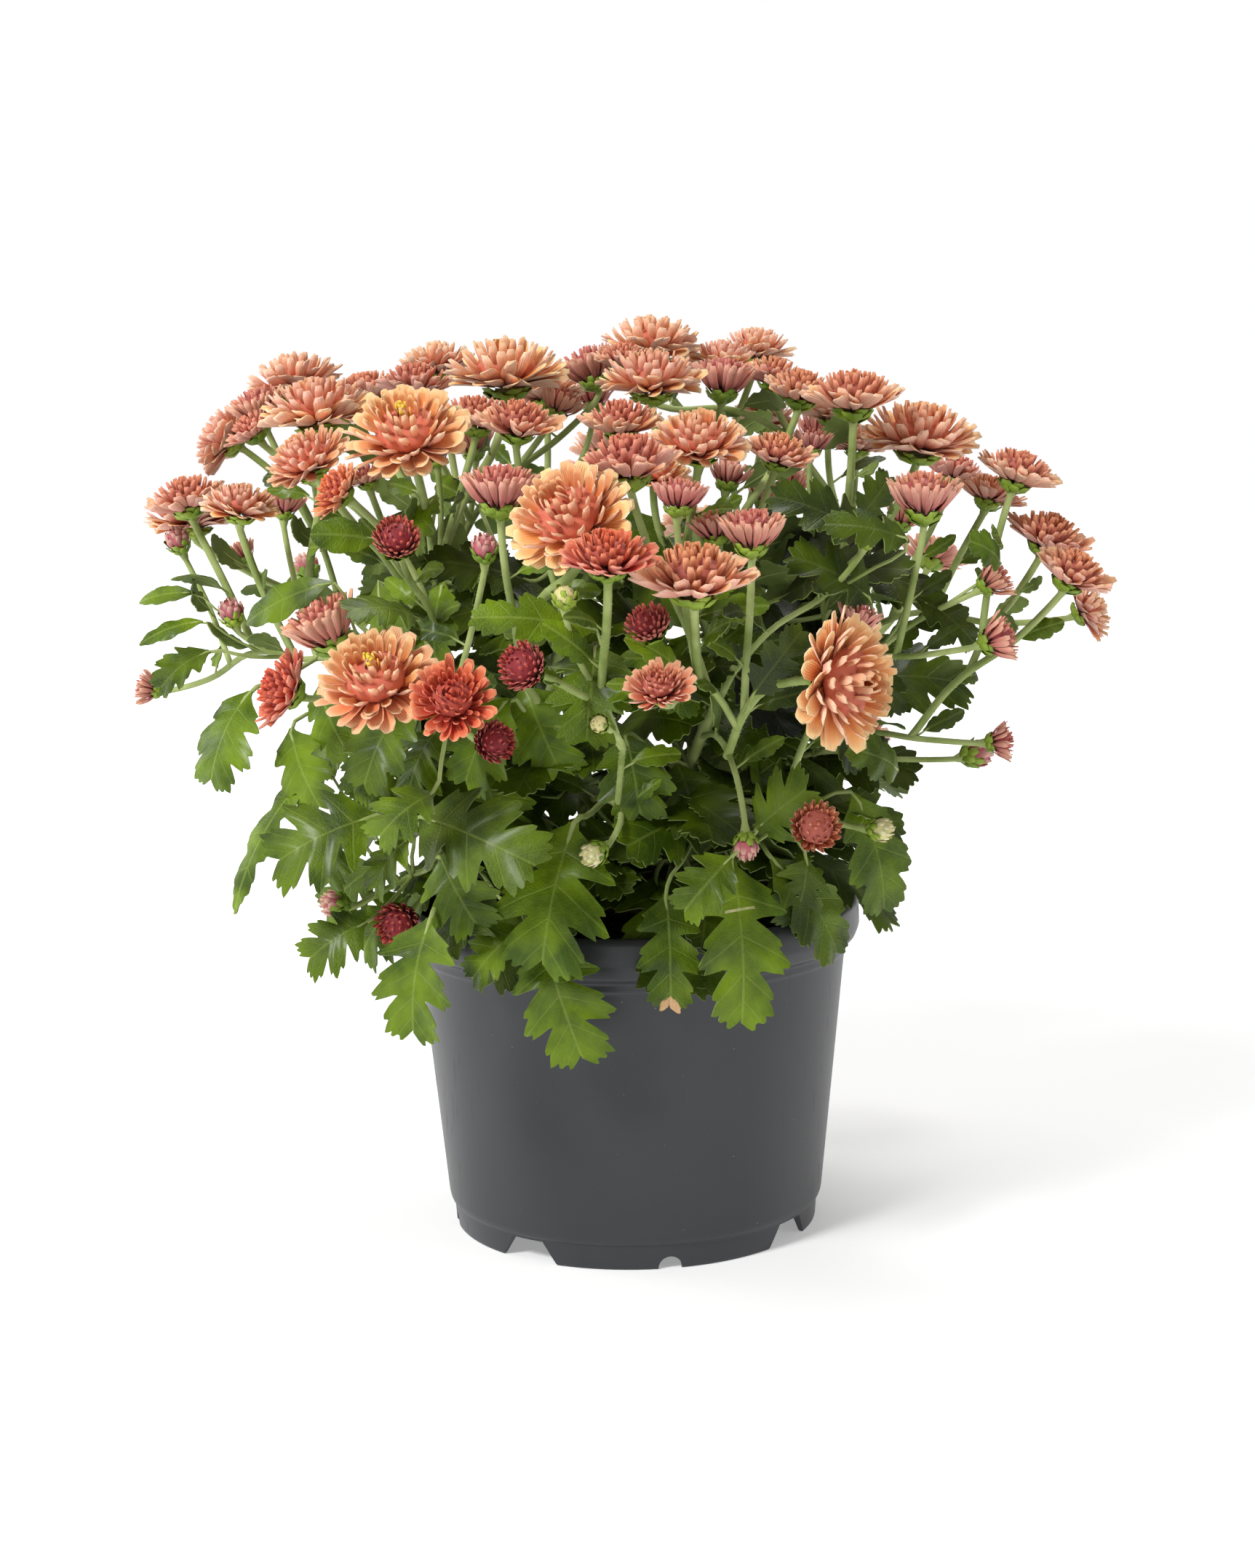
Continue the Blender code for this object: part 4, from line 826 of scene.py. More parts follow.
# %% The tree of florets
def floret_tree():
    """Florets on a spiral, as six-sided tubes that know their place, each then bent to its form."""
    tree, sizes = new_tree("ray_florets", {
        "Florets": 40, "Rows": 4, "Seed": 1, "Half Width": 0.02, "Reach": 1.0, "Rim Height": 0.3,
        "Crown": 0.5, "Low Tip": 0.0, "High Tip": 1.0, "Seat": 0.17, "Root Height": 0.05,
        "Root Rise": 0.2, "Low Bulge": 0.0, "High Bulge": 0.2, "Low Petal": 0.13,
        "High Petal": 0.08, "Hollow": 0.25, "Low Tone": 0.0, "High Tone": 0.5, "Disorder": 1.0,
        "Crowd": 0.0,
    })
    tube = add(tree, "GeometryNodeMeshCylinder", {
        "Vertices": 6, "Side Segments": sizes["Rows"], "Radius": 1.0, "Depth": 1.0,
    }, fill_type="TRIANGLE_FAN")
    place = add(tree, "GeometryNodeInputPosition")
    marked = add(tree, STORE, {"Geometry": tube, "Name": "petal", "Value": place}, data_type="FLOAT_VECTOR")
    points = add(tree, "GeometryNodePoints", {"Count": sizes["Florets"]})
    spots = add(tree, "GeometryNodeInstanceOnPoints", {"Points": points, "Instance": marked})
    index = add(tree, "GeometryNodeInputIndex")
    last = add(tree, "SUBTRACT", sizes["Florets"], 1.0)
    share = add(tree, "DIVIDE", index, last)
    order = add(tree, PACK, share, index)
    chance = add(tree, "FunctionNodeRandomValue", {
        0: (-1.0, -1.0, -1.0), 1: (1.0, 1.0, 1.0), "ID": index, "Seed": sizes["Seed"],
    }, data_type="FLOAT_VECTOR")
    tone = add(tree, MIX, share, sizes["Low Tone"], sizes["High Tone"])
    head_draw = add(tree, "FunctionNodeRandomValue", {"ID": sizes["Seed"]}, data_type="FLOAT")
    floret = add(tree, PACK, tone, add(tree, SPLIT, chance), head_draw)
    for name, value in (("order", order), ("chance", chance), ("floret", floret)):
        spots = add(tree, STORE, {"Geometry": spots, "Name": name, "Value": value},
                    data_type="FLOAT_VECTOR", domain="INSTANCE")
    real = add(tree, "GeometryNodeRealizeInstances", spots)
    moved = add(tree, "GeometryNodeSetPosition", {"Geometry": real, "Position": petal_place(tree, sizes)})
    for name in ("order", "chance"):
        moved = add(tree, "GeometryNodeRemoveAttribute", {"Geometry": moved, "Name": name})
    across = add(tree, "ABSOLUTE", add(tree, SPLIT, add(tree, NAMED, {"Name": "petal"},
                                                        data_type="FLOAT_VECTOR")))
    on_edge = add(tree, "GREATER_THAN", across, 0.9)
    smooth = add(tree, "GeometryNodeSetShadeSmooth", {"Geometry": moved, "Shade Smooth": True})
    crisp = add(tree, "GeometryNodeSetShadeSmooth", {
        "Geometry": smooth, "Selection": on_edge, "Shade Smooth": False}, domain="EDGE")
    end_tree(tree, sizes, crisp)
    return tree


florets = floret_tree()
print("Nodes in the tree of florets:", len(florets.nodes))

# %% [markdown]
# A dense head hides its inside, so a smaller core stands in for the crowd of roots there. It
# also keeps daylight from showing between the petals.

# %% The tree of a head's core
def core_tree():
    """A squashed ball in the middle of a head, coloured as the petals' roots are."""
    tree, sizes = new_tree("head_core", {"Half Width": 0.02, "Core": 0.4, "Height": 0.3, "Squash": 0.6})
    ball = add(tree, "GeometryNodeMeshIcoSphere", {"Radius": 1.0, "Subdivisions": 2})
    spot = add(tree, VECTOR, add(tree, "GeometryNodeInputPosition"), sizes["Core"], operation="SCALE")
    squashed = add(tree, VECTOR, spot, add(tree, PACK, 1.0, 1.0, sizes["Squash"]), operation="MULTIPLY")
    lifted = add(tree, VECTOR, squashed, add(tree, PACK, 0.0, 0.0, sizes["Height"]))
    scaled = add(tree, VECTOR, lifted, sizes["Half Width"], operation="SCALE")
    ball = add(tree, "GeometryNodeSetPosition", {"Geometry": ball, "Position": scaled})
    ball = add(tree, STORE, {"Geometry": ball, "Name": "petal", "Value": (0.0, -0.9, -0.4)},
               data_type="FLOAT_VECTOR")
    ball = add(tree, STORE, {"Geometry": ball, "Name": "floret", "Value": (0.6, 0.0, 0.5)},
               data_type="FLOAT_VECTOR")
    smooth = add(tree, "GeometryNodeSetShadeSmooth", {"Geometry": ball, "Shade Smooth": True})
    end_tree(tree, sizes, smooth)
    return tree


core = core_tree()
print("Nodes in the tree of a core:", len(core.nodes))

# %% [markdown]
# The colour of a petal changes along it, across it and from its face to its back. On this plant
# the face goes from a deep orange-red root through coral to a peach tip with pale edges, and the
# back is a dusty pink with fine stripes. The youngest florets are crimson. Each kind of head
# gets the same node layout with its own colours. A fine bump runs along the petal, one ridge for
# each of its veins, which stand about 0.6 mm apart.

# %% The materials of the petals
VEIN_RIDGES = 24.0  # radians of ridges from a petal's middle to its edge
PALE_EDGE = 0.22


def floret_material(name, root, face, tip, back, back_tip, deep, deep_tip):
    """Living petal tissue: matt, a little velvety, ribbed along its veins."""
    made_of, tree, shader = new_material(name)
    petal = add(tree, "ShaderNodeAttribute", attribute_name="petal").outputs["Vector"]
    petal = add(tree, SPLIT, petal).outputs
    floret = add(tree, "ShaderNodeAttribute", attribute_name="floret").outputs["Vector"]
    floret = add(tree, SPLIT, floret).outputs
    spine = add(tree, "ADD", petal[2], 0.5)
    edge = add(tree, "MULTIPLY", petal[0], petal[0])
    pale = add(tree, "MULTIPLY_ADD", edge, PALE_EDGE, spine)
    front = add(tree, RAMP, pale, stops=((0.12, root), (0.5, face), (1.0, tip)))
    rear = add(tree, RAMP, pale, stops=((0.25, back), (1.0, back_tip)))
    side = add(tree, SPAN, {"Value": petal[1], "From Min": -0.3, "From Max": 0.3})
    old = add(tree, MIX, side, rear, front, data_type="RGBA")
    young = add(tree, RAMP, pale, stops=((0.45, deep), (1.0, deep_tip)))
    colour = add(tree, MIX, floret[0], old, young, data_type="RGBA")
    veins = add(tree, "SINE", add(tree, "MULTIPLY", petal[0], VEIN_RIDGES))
    blotch = add(tree, NOISE, {
        "Vector": add(tree, "ShaderNodeTexCoord").outputs["Object"], "Scale": 180.0, "Detail": 3.0})
    # Each floret and each head is a little lighter or darker than the next.
    light = add(tree, "MULTIPLY_ADD", floret[1], 0.1, 0.96)
    light = add(tree, "MULTIPLY_ADD", floret[2], 0.16, light)
    light = add(tree, "MULTIPLY_ADD", veins, 0.035, light)
    light = add(tree, "MULTIPLY_ADD", blotch, 0.2, light)
    light = add(tree, "SUBTRACT", light, 0.17)
    hue = add(tree, "MULTIPLY_ADD", floret[2], 0.024, 0.486)
    tuned = add(tree, "ShaderNodeHueSaturation", {"Hue": hue, "Value": light, "Color": colour})
    bump = add(tree, BUMP, {"Strength": 0.35, "Distance": 0.0003, "Height": veins})
    plug(tree, shader, {
        "Base Color": tuned, "Normal": bump, "Roughness": 0.6, "Specular IOR Level": 0.3,
        "Sheen Weight": 0.12, "Subsurface Weight": 0.12, "Subsurface Scale": 2 * MM,
    })
    return made_of


PETALS = {
    "open": floret_material("petals_open_coral", "#C64620", "#E99354", "#F6CC94", "#E09480", "#F4CAB4",
                            "#C45428", "#ECA66E"),
    "young": floret_material("petals_young_salmon", "#B4401E", "#E88E5A", "#F6C896", "#DC8C7A", "#F2C2AC",
                             "#963222", "#E08A60"),
    "vivid": floret_material("petals_young_coral", "#B02A14", "#E25C30", "#F0A26C", "#D8745A", "#F0B090",
                             "#8E1C12", "#DE5A3A"),
    "cup": floret_material("petals_half_open_mauve", "#A8342E", "#DC7C58", "#F0B488", "#C66C66", "#E8B098",
                           "#8E2C30", "#D47A62"),
    "button": floret_material("petals_button_crimson", "#741218", "#A83028", "#DC8068", "#9C3034",
                              "#D48470", "#6A1014", "#CE6450"),
    "bud": floret_material("petals_bud_pink", "#A84C56", "#C46E72", "#E0B4A0", "#B66268", "#DAA698",
                           "#B05860", "#DEB09A"),
    "green": floret_material("petals_bud_cream", "#D2CC84", "#F0E4A4", "#FBF2C8", "#E0D894", "#F6EABC",
                             "#D8D08C", "#F6ECC0"),
    "disc": floret_material("florets_disc_yellow", "#C88A14", "#F0BE22", "#F8D850", "#D8A01C", "#F4CE48",
                            "#D89C18", "#F8D648"),
}
print("Petal materials:", len(PETALS))

# %% [markdown]
# ## Six kinds of head
#
# A head is one or two zones of florets. The lines below say how many there are, the ellipse
# that their tips lie on, and how the lowest and highest of the zone differ. All are shares of
# the head's half width, so a kind keeps its form at any size.

# %% The zones of each kind of head
# The inputs that the numbers of each line below are for, after the number of florets.
SHAPES = ["Reach", "Rim Height", "Crown", "Low Tip", "High Tip", "Seat", "Root Height", "Low Bulge",
          "High Bulge", "Low Petal", "High Petal", "Hollow", "Low Tone", "High Tone"]
ZONES = {
    "open": [
        (38, (1.00, 0.30, 0.54, -0.40, 0.30, 0.20, 0.04, -0.10, 0.14, 0.150, 0.136, 0.25, 0.0, 0.1)),
        (58, (0.98, 0.30, 0.54, 0.34, 1.00, 0.16, 0.08, 0.24, 0.38, 0.112, 0.060, 0.55, 0.05, 0.7)),
    ],
    "young": [
        (32, (1.02, 0.40, 0.42, -0.26, 0.30, 0.22, 0.04, 0.06, 0.26, 0.142, 0.122, 0.40, 0.0, 0.25)),
        (58, (0.76, 0.46, 0.36, 0.00, 1.00, 0.18, 0.10, 0.36, 0.34, 0.084, 0.050, 0.70, 0.55, 1.0)),
    ],
    "cup": [
        (34, (1.02, 0.84, 0.26, -0.35, 0.25, 0.40, 0.00, 0.16, 0.16, 0.120, 0.105, 0.60, 0.0, 0.2)),
        (40, (0.86, 0.86, 0.24, 0.15, 1.00, 0.26, 0.10, 0.16, 0.20, 0.085, 0.062, 0.70, 0.4, 0.9)),
    ],
    "button": [
        (78, (1.00, 0.62, 0.56, -0.40, 1.00, 0.30, 0.05, 0.40, 0.26, 0.108, 0.070, 0.80, 0.1, 1.0)),
    ],
    "bud": [
        (26, (0.86, 0.90, 0.78, 0.25, 1.00, 0.40, 0.10, 0.42, 0.24, 0.240, 0.140, 0.70, 0.3, 1.0)),
    ],
    "green": [
        (14, (0.70, 0.75, 0.55, 0.45, 1.00, 0.35, 0.20, 0.40, 0.22, 0.260, 0.160, 0.70, 0.3, 1.0)),
    ],
}
# The small yellow florets in the middle of the two open heads that face the front.
DISC = {"Florets": 8, "Rows": 2, "Reach": 0.14, "Rim Height": 0.79, "Crown": 0.10, "Low Tip": 0.2,
        "Seat": 0.05, "Root Height": 0.5, "Low Petal": 0.045, "High Petal": 0.045}
CORES = {"open": (0.50, 0.36, 0.5), "young": (0.46, 0.40, 0.5), "cup": (0.60, 0.58, 0.6),
         "button": (0.66, 0.54, 0.7), "bud": (0.74, 0.70, 1.0), "green": (0.74, 0.60, 0.9)}
print("Florets:", {kind: sum(zone[0] for zone in zones) for kind, zones in ZONES.items()})

# %% [markdown]
# A head is grown flat at the origin, its core first and then its zones, and set on its seat by
# one matrix. Small heads have fewer florets and fewer rows of points.

# %% A head from its line
GAP = 0.3 * MM
LARGE_HEAD = 30 * MM
SMALL_HEAD = 22 * MM
FEWER = 0.72  # the share of the florets that a small head has
CREAM_BELOW = 179 * MM
CREAM_FROM = -60 * MM
CORAL_FROM = 50 * MM
VIVID_BEFORE = -80 * MM


def zone_sizes(kind, zone, width, seed):
    """The named inputs of one zone of a head of this width. Narrow heads have fewer florets."""
    count, shares = ZONES[kind][zone]
    sizes = dict(zip(SHAPES, shares))
    sizes["Half Width"] = width / 2
    sizes["Florets"] = count if width > SMALL_HEAD or kind == "button" else int(count * FEWER)
    sizes["Rows"] = 4 if width > LARGE_HEAD else 3
    sizes["Seed"] = seed
    sizes["Root Rise"] = 0.24 if zone else 0.1
    sizes["Disorder"] = 1.4 if kind in ("open", "young") and not zone else 0.8
    sizes["Crowd"] = 0.9 if zone else 0.0
    return sizes


def petals_of(kind, seat):
    """The colour of a head. The lowest near buds are still cream, one low button is already
    coral, and the young heads at the near left are a stronger coral than the others."""
    if kind == "bud" and seat.z < CREAM_BELOW and seat.x > CREAM_FROM:
        return PETALS["green"]
    if kind == "button" and seat.x > CORAL_FROM:
        return PETALS["young"]
    if kind == "young" and seat.y < VIVID_BEFORE and seat.x < 0:
        return PETALS["vivid"]
    return PETALS[kind]


def head_mesh(head, seed):
    """A head in its own place: its core, then its zones of florets."""
    kind, seat, axis, width = head
    colour = petals_of(kind, seat)
    share, height, squash = CORES[kind]
    steps = [(core, {"Half Width": width / 2, "Core": share, "Height": height, "Squash": squash,
                     "Material": colour})]
    for zone in range(len(ZONES[kind])):
        steps.append((florets, {**zone_sizes(kind, zone, width, seed + zone * 500), "Material": colour}))
    faces_front = axis.y < -0.6 and abs(axis.x) < 0.2
    if kind == "open" and faces_front:
        disc = {**zone_sizes(kind, 1, width, seed + 1000), **DISC, "Material": PETALS["disc"]}
        steps.append((florets, disc))
    mesh = grow("head", steps)
    mesh.transform(head_matrix(head))
    return mesh


def head_matrix(head):
    """Sets a head on its seat, a hair's breadth above it, along its axis."""
    _, seat, axis, _ = head
    return Matrix.Translation(seat + axis * GAP) @ axis.to_track_quat("Z", "Y").to_matrix().to_4x4()


print("Outer florets of the widest head:", zone_sizes(heads[0][0], 0, heads[0][3], 0)["Florets"])

# %% [markdown]
# The fifty widest heads are nodes of their own in the CAD model. Each becomes a piece of its
# own that stands for its node. The smaller ones come later, with the stems that carry them.

# %% The fifty widest heads
SLOTS = {"open": "petals_open", "young": "petals_young", "cup": "petals_mauve", "button": "petals_mauve",
         "bud": "petals_mauve", "green": "petals_mauve"}
for i, head in enumerate(own):
    bloom = join(f"bloom_{i + 1:02d}_petals", [head_mesh(head, i)])
    dress(bloom, SLOTS[head[0]], f"bloom_{i + 1:02d}")
print("First bloom:", made[0], "all blooms:", sum(count for name, count in made), "triangles")

# %% [markdown]
# ## The green parts
#
# Leaves, bracts and stems share one green plant, but not one surface. The top of a leaf is dark
# and shiny with paler veins, its underside is dull and grey-green, the bracts of the calyx are
# bright and fleshy, and the stems are pale and ribbed under their white down. Five materials
# say so.

# %% Plant skin
PATCHES = 60.0  # patches of lighter green to a metre


def green_material(name, dark, light, roughness, specular, grain, depth):
    """Plant skin whose green wanders from patch to patch, with a fine grain of cells."""
    made_of, tree, shader = new_material(name)
    place = add(tree, "ShaderNodeTexCoord").outputs["Object"]
    patches = add(tree, NOISE, {"Vector": place, "Scale": PATCHES, "Detail": 3.0})
    ramp = add(tree, RAMP, patches, stops=((0.34, dark), (0.68, light)))
    cells = add(tree, NOISE, {"Vector": place, "Scale": grain, "Detail": 2.0})
    bump = add(tree, BUMP, {"Strength": 0.5, "Distance": depth, "Height": cells})
    plug(tree, shader, {
        "Base Color": ramp, "Normal": bump, "Roughness": roughness, "Specular IOR Level": specular,
    })
    return made_of, tree, shader, ramp, bump


print("Patches of green are", round(1000 / PATCHES), "mm apart")

# %% [markdown]
# The top of a leaf adds veins: a sunk midrib, side veins where a curve along the blade is high,
# and a net of small ones. Two pale marks stand where the photograph shows them on two leaves.

# %% The top of a leaf
DRY_TIP = sight(921, 1386, 118 * MM)
SCAR = sight(1016, 1247, 115 * MM)
PALE_GREEN = "#9DB052"
DRY_CREAM = "#E0D8A8"
DRY_BROWN = "#C09A6E"
VEINS = (0.23, 0.47, 0.70, 0.86)


def vein_points(places, half):
    """A curve that is high at each of these places and low between them."""
    points = [(0.0, 0.0)]
    for place in places:
        points += [(place - half, 0.0), (place, 1.0), (place + half, 0.0)]
    return points + [(1.0, 0.0)]


def leaf_material():
    """The top of a leaf: waxy, with a sunk midrib and side veins, and a blade quilted between.

    One leaf over the rim has a dry tip and another a scar, where the photograph shows them.
    """
    made_of, tree, shader, ramp, bump = green_material(
        "leaf_top_waxy", "#364C02", "#6A8408", 0.44, 0.2, 1300.0, 0.0008)
    blade = add(tree, "ShaderNodeAttribute", attribute_name="blade").outputs["Vector"]
    blade = add(tree, SPLIT, blade).outputs
    spread = add(tree, "ABSOLUTE", add(tree, "ShaderNodeAttribute",
                                       attribute_name="spread").outputs["Fac"])
    midrib = add(tree, SPAN, {
        "Value": spread, "From Min": 0.0002, "From Max": 0.0008, "To Min": 1.0, "To Max": 0.0})
    out = add(tree, "ABSOLUTE", blade[0])
    veins = add(tree, "ShaderNodeFloatCurve", {"Value": blade[1]})
    set_curve(veins, vein_points(VEINS, 0.011))
    small = add(tree, "MULTIPLY_ADD", blade[1], 62.0, add(tree, "MULTIPLY", out, -7.0))
    small = add(tree, "GREATER_THAN", add(tree, "SINE", small), 0.86)
    thin = add(tree, "MULTIPLY", small, 0.16)
    side = add(tree, "MULTIPLY", veins, add(tree, "MULTIPLY_ADD", out, -0.55, 1.0))
    lines = add(tree, "MAXIMUM", midrib, side)
    lines = add(tree, "MAXIMUM", lines, thin)
    pale = add(tree, "MULTIPLY", lines, 0.24)
    tinted = add(tree, MIX, pale, ramp, linear(PALE_GREEN), data_type="RGBA")
    # The blade's third value makes the whole leaf lighter or darker: random tone, less painted shade.
    value = add(tree, "MULTIPLY_ADD", blade[2], 0.5, 0.72)
    varied = add(tree, "ShaderNodeHueSaturation", {"Value": value, "Color": tinted})
    place = add(tree, "ShaderNodeTexCoord").outputs["Object"]
    ragged = add(tree, NOISE, {"Vector": place, "Scale": 260.0, "Detail": 4.0})
    dry = add(tree, VECTOR, place, DRY_TIP, operation="DISTANCE").outputs["Value"]
    dry = add(tree, "MULTIPLY_ADD", ragged, 0.008, dry)
    dry = add(tree, SPAN, {
        "Value": dry, "From Min": 0.0072, "From Max": 0.0085, "To Min": 1.0, "To Max": 0.0})
    scar = add(tree, SPLIT, add(tree, VECTOR, place, SCAR, operation="SUBTRACT")).outputs
    level = add(tree, "MULTIPLY_ADD", scar[0], -0.1, scar[2])
    line = add(tree, "COMPARE", level, 0.0, 0.0005)
    for axis, reach in ((0, 0.0055), (1, 0.02)):
        line = add(tree, "MULTIPLY", line, add(tree, "COMPARE", scar[axis], 0.0, reach))
    line = add(tree, "MULTIPLY", line, ragged)
    marked = add(tree, MIX, line, varied, linear(DRY_CREAM), data_type="RGBA")
    marked = add(tree, MIX, dry, marked, linear(DRY_BROWN), data_type="RGBA")
    quilt = add(tree, "MULTIPLY_ADD", lines, -1.0, 1.0)
    raised = add(tree, BUMP, {
        "Strength": 0.5, "Distance": 0.0005, "Height": quilt, "Normal": bump})
    plug(tree, shader, {
        "Base Color": marked, "Normal": raised, "Coat Weight": 0.14, "Coat Roughness": 0.22,
    })
    return made_of


LEAF_TOP = leaf_material()
print("Nodes in", LEAF_TOP.name, ":", len(LEAF_TOP.node_tree.nodes))

# %% [markdown]
# The other green surfaces differ only in colour, gloss and the size of their grain.

# %% Underside, bracts, stems and down
LEAF_UNDER = green_material("leaf_underside_dull", "#5E7034", "#7C8E4C", 0.62, 0.3, 1500.0, 0.0003)[0]
BRACT = green_material("bract_fleshy", "#627F18", "#97AE3A", 0.5, 0.4, 1200.0, 0.0002)[0]
STEM = green_material("stem_ribbed", "#7E9048", "#ACBA76", 0.55, 0.35, 1800.0, 0.0002)[0]
DOWN = green_material("stem_down", "#D5DEC2", "#E8EEDA", 0.8, 0.2, 300.0, 0.0001)[0]
print("Green materials:", [m.name for m in (LEAF_TOP, LEAF_UNDER, BRACT, STEM, DOWN)])

# %% [markdown]
# ### Calyx
#
# Under every head sits a cup of small green bracts in overlapping rows, as tiles lie on a roof.
# They are short straps on a spiral, which is just what the tree of florets makes, so the same
# tree grows them with other sizes.

# %% The calyx of each kind of head
CALYX = {
    "open": (14, (0.42, 0.02, 0.14, -0.60, 0.30, 0.09, -0.19, 0.30, 0.30, 0.170, 0.160, 0.3, 0.0, 1.0)),
    "young": (14, (0.44, 0.07, 0.16, -0.60, 0.30, 0.10, -0.22, 0.30, 0.30, 0.180, 0.170, 0.3, 0.0, 1.0)),
    "cup": (14, (0.55, 0.11, 0.26, -0.60, 0.30, 0.14, -0.32, 0.30, 0.30, 0.230, 0.210, 0.3, 0.0, 1.0)),
    "button": (14, (0.84, 0.08, 0.24, -0.60, 0.30, 0.14, -0.34, 0.34, 0.34, 0.300, 0.270, 0.4, 0.0, 1.0)),
    "bud": (14, (0.97, 0.86, 1.00, -0.80, 0.02, 0.24, -0.40, 0.30, 0.22, 0.300, 0.280, 0.5, 0.0, 1.0)),
    "green": (16, (0.99, 0.75, 0.80, -0.80, 0.62, 0.26, -0.45, 0.34, 0.26, 0.340, 0.280, 0.5, 0.0, 1.0)),
}


def calyx_mesh(head, seed):
    """The cup of bracts under a head."""
    kind, _, _, width = head
    count, shares = CALYX[kind]
    sizes = dict(zip(SHAPES, shares))
    sizes.update({"Half Width": width / 2, "Florets": count, "Rows": 2, "Seed": seed, "Root Rise": 0.1,
                  "Disorder": 0.4, "Crowd": 0.0, "Material": BRACT})
    mesh = grow("calyx", [(florets, sizes)])
    mesh.transform(head_matrix(head))
    return mesh


print("Bracts:", {kind: row[0] for kind, row in CALYX.items()})

# %% [markdown]
# ### Stems
#
# A chrysanthemum's stem is pale green, with low ribs and fine down. A round tube would look
# like wire. Here the lines become smooth curves, and a tree sweeps a twelve-sided section with
# six ribs along them, as thick as each point's radius says. A second tree scatters the down:
# hairs about 0.9 mm long, drawn 0.1 mm thick, coarser than the real ones, so that they show.

# %% The trees of stems and down
def stem_tree():
    """A ribbed tube along every curve that comes in."""
    tree, sizes = new_tree("ribbed_stems", {"Step": 0.0045, "Rib": 0.1, "Sides": 12})
    curve = add(tree, "GeometryNodeResampleCurve", {"Curve": sizes["Geometry"], "Length": sizes["Step"]},
                mode="LENGTH")
    ring = add(tree, "GeometryNodeCurvePrimitiveCircle", {"Resolution": sizes["Sides"], "Radius": 1.0})
    turn = add(tree, "MODULO", add(tree, "GeometryNodeInputIndex"), 2.0)
    size = add(tree, "MULTIPLY_ADD", add(tree, "MULTIPLY", turn, sizes["Rib"]), -1.0, 1.0)
    ribbed = add(tree, VECTOR, add(tree, "GeometryNodeInputPosition"), size, operation="SCALE")
    ring = add(tree, "GeometryNodeSetPosition", {"Geometry": ring, "Position": ribbed})
    swept = add(tree, "GeometryNodeCurveToMesh", {
        "Curve": curve, "Profile Curve": ring, "Scale": add(tree, "GeometryNodeInputRadius"),
        "Fill Caps": True})
    smooth = add(tree, "GeometryNodeSetShadeSmooth", {"Geometry": swept, "Shade Smooth": True})
    painted = add(tree, "GeometryNodeSetMaterial", {"Geometry": smooth, "Material": sizes["Material"]})
    real = add(tree, "GeometryNodeRealizeInstances", painted)
    add(tree, "NodeGroupOutput", real)
    return tree


def down_tree():
    """Short hairs all over the mesh that comes in, each leaning its own way."""
    tree, sizes = new_tree("stem_down", {"Density": 120000.0, "Length": 0.001, "Thickness": 0.00005,
                                         "Seed": 3})
    spots = add(tree, "GeometryNodeDistributePointsOnFaces", {
        "Mesh": sizes["Geometry"], "Density": sizes["Density"], "Seed": sizes["Seed"]})
    hair = add(tree, "GeometryNodeMeshCone", {
        "Vertices": 3, "Radius Top": 0.0, "Radius Bottom": sizes["Thickness"],
        "Depth": sizes["Length"]}, fill_type="NONE")
    chance = add(tree, "FunctionNodeRandomValue", {0: (-0.6, -0.6, -0.6), 1: (0.6, 0.6, 0.6)},
                 data_type="FLOAT_VECTOR")
    lean = add(tree, VECTOR, spots.outputs["Normal"], chance)
    aim = add(tree, "FunctionNodeAlignRotationToVector", {"Vector": lean}, axis="Z")
    hairs = add(tree, "GeometryNodeInstanceOnPoints", {
        "Points": spots.outputs["Points"], "Instance": hair, "Rotation": aim})
    end_tree(tree, sizes, hairs)
    return tree


stems = stem_tree()
down = down_tree()
print("Nodes:", len(stems.nodes), "for stems and", len(down.nodes), "for down")

# %% [markdown]
# The paths become smooth curves with a radius at each point, for the trees to sweep along.

# %% Curves for the stems
STEM_RADIUS = 2.6 * MM
STEM_TAPER = (1, 1, 1, 0.85, 0.62)
SLIM_STALK = 1.0  # the radius of the thinnest stalks, in millimetres
STALK_GAIN = 13  # millimetres more of radius for each metre of a head's width


def stem_curve(lines):
    """Smooth curves through these lines, each a list of points with a radius."""
    curve = bpy.data.curves.new("stems", "CURVE")
    curve.dimensions = "3D"
    for line in lines:
        spline = curve.splines.new("BEZIER")
        spline.bezier_points.add(len(line) - 1)
        for spot, (point, radius) in zip(spline.bezier_points, line):
            spot.co = point
            spot.radius = radius
            spot.handle_left_type = spot.handle_right_type = "AUTO"
    return curve


def stem_lines(k):
    """The forks and stalks of cutting k, with a radius at each point.

    A stalk is a little thicker where it leaves the wood, and it widens under its head.
    """
    lines = []
    radii = [STEM_RADIUS * share for share in STEM_TAPER]
    for fork in range(FORKS):
        lines.append(list(zip(stem_path(k, fork), radii)))
    for (kind, seat, axis, width), line in plans[k][0]:
        spread = SEAT[kind] * width / 2
        size = (SLIM_STALK + STALK_GAIN * width) * MM
        points = [(point, size * (1.12 - 0.12 * i / len(line))) for i, point in enumerate(line)]
        neck = seat - axis * spread * 0.55
        points.append((neck, size * 1.15))
        points.append((seat, max(spread * 0.9, size)))
        lines.append(points)
    return lines


print("Curves in the first cutting:", len(stem_lines(0)))

# %% [markdown]
# ### Leaves
#
# A chrysanthemum's leaf has two or three toothed lobes a side with narrow bays between them,
# and its side veins run slanting forward into the lobes. An outline could be cut from a flat
# sheet, but then nothing in the mesh would follow the veins. This tree bends a grid instead:
# its long lines run from base to tip, and its cross lines leave the midrib at the angle of the
# side veins, as far out as a curve of the leaf's edge says. The blade is then arched, folded a
# little along its midrib and waved at its rim.

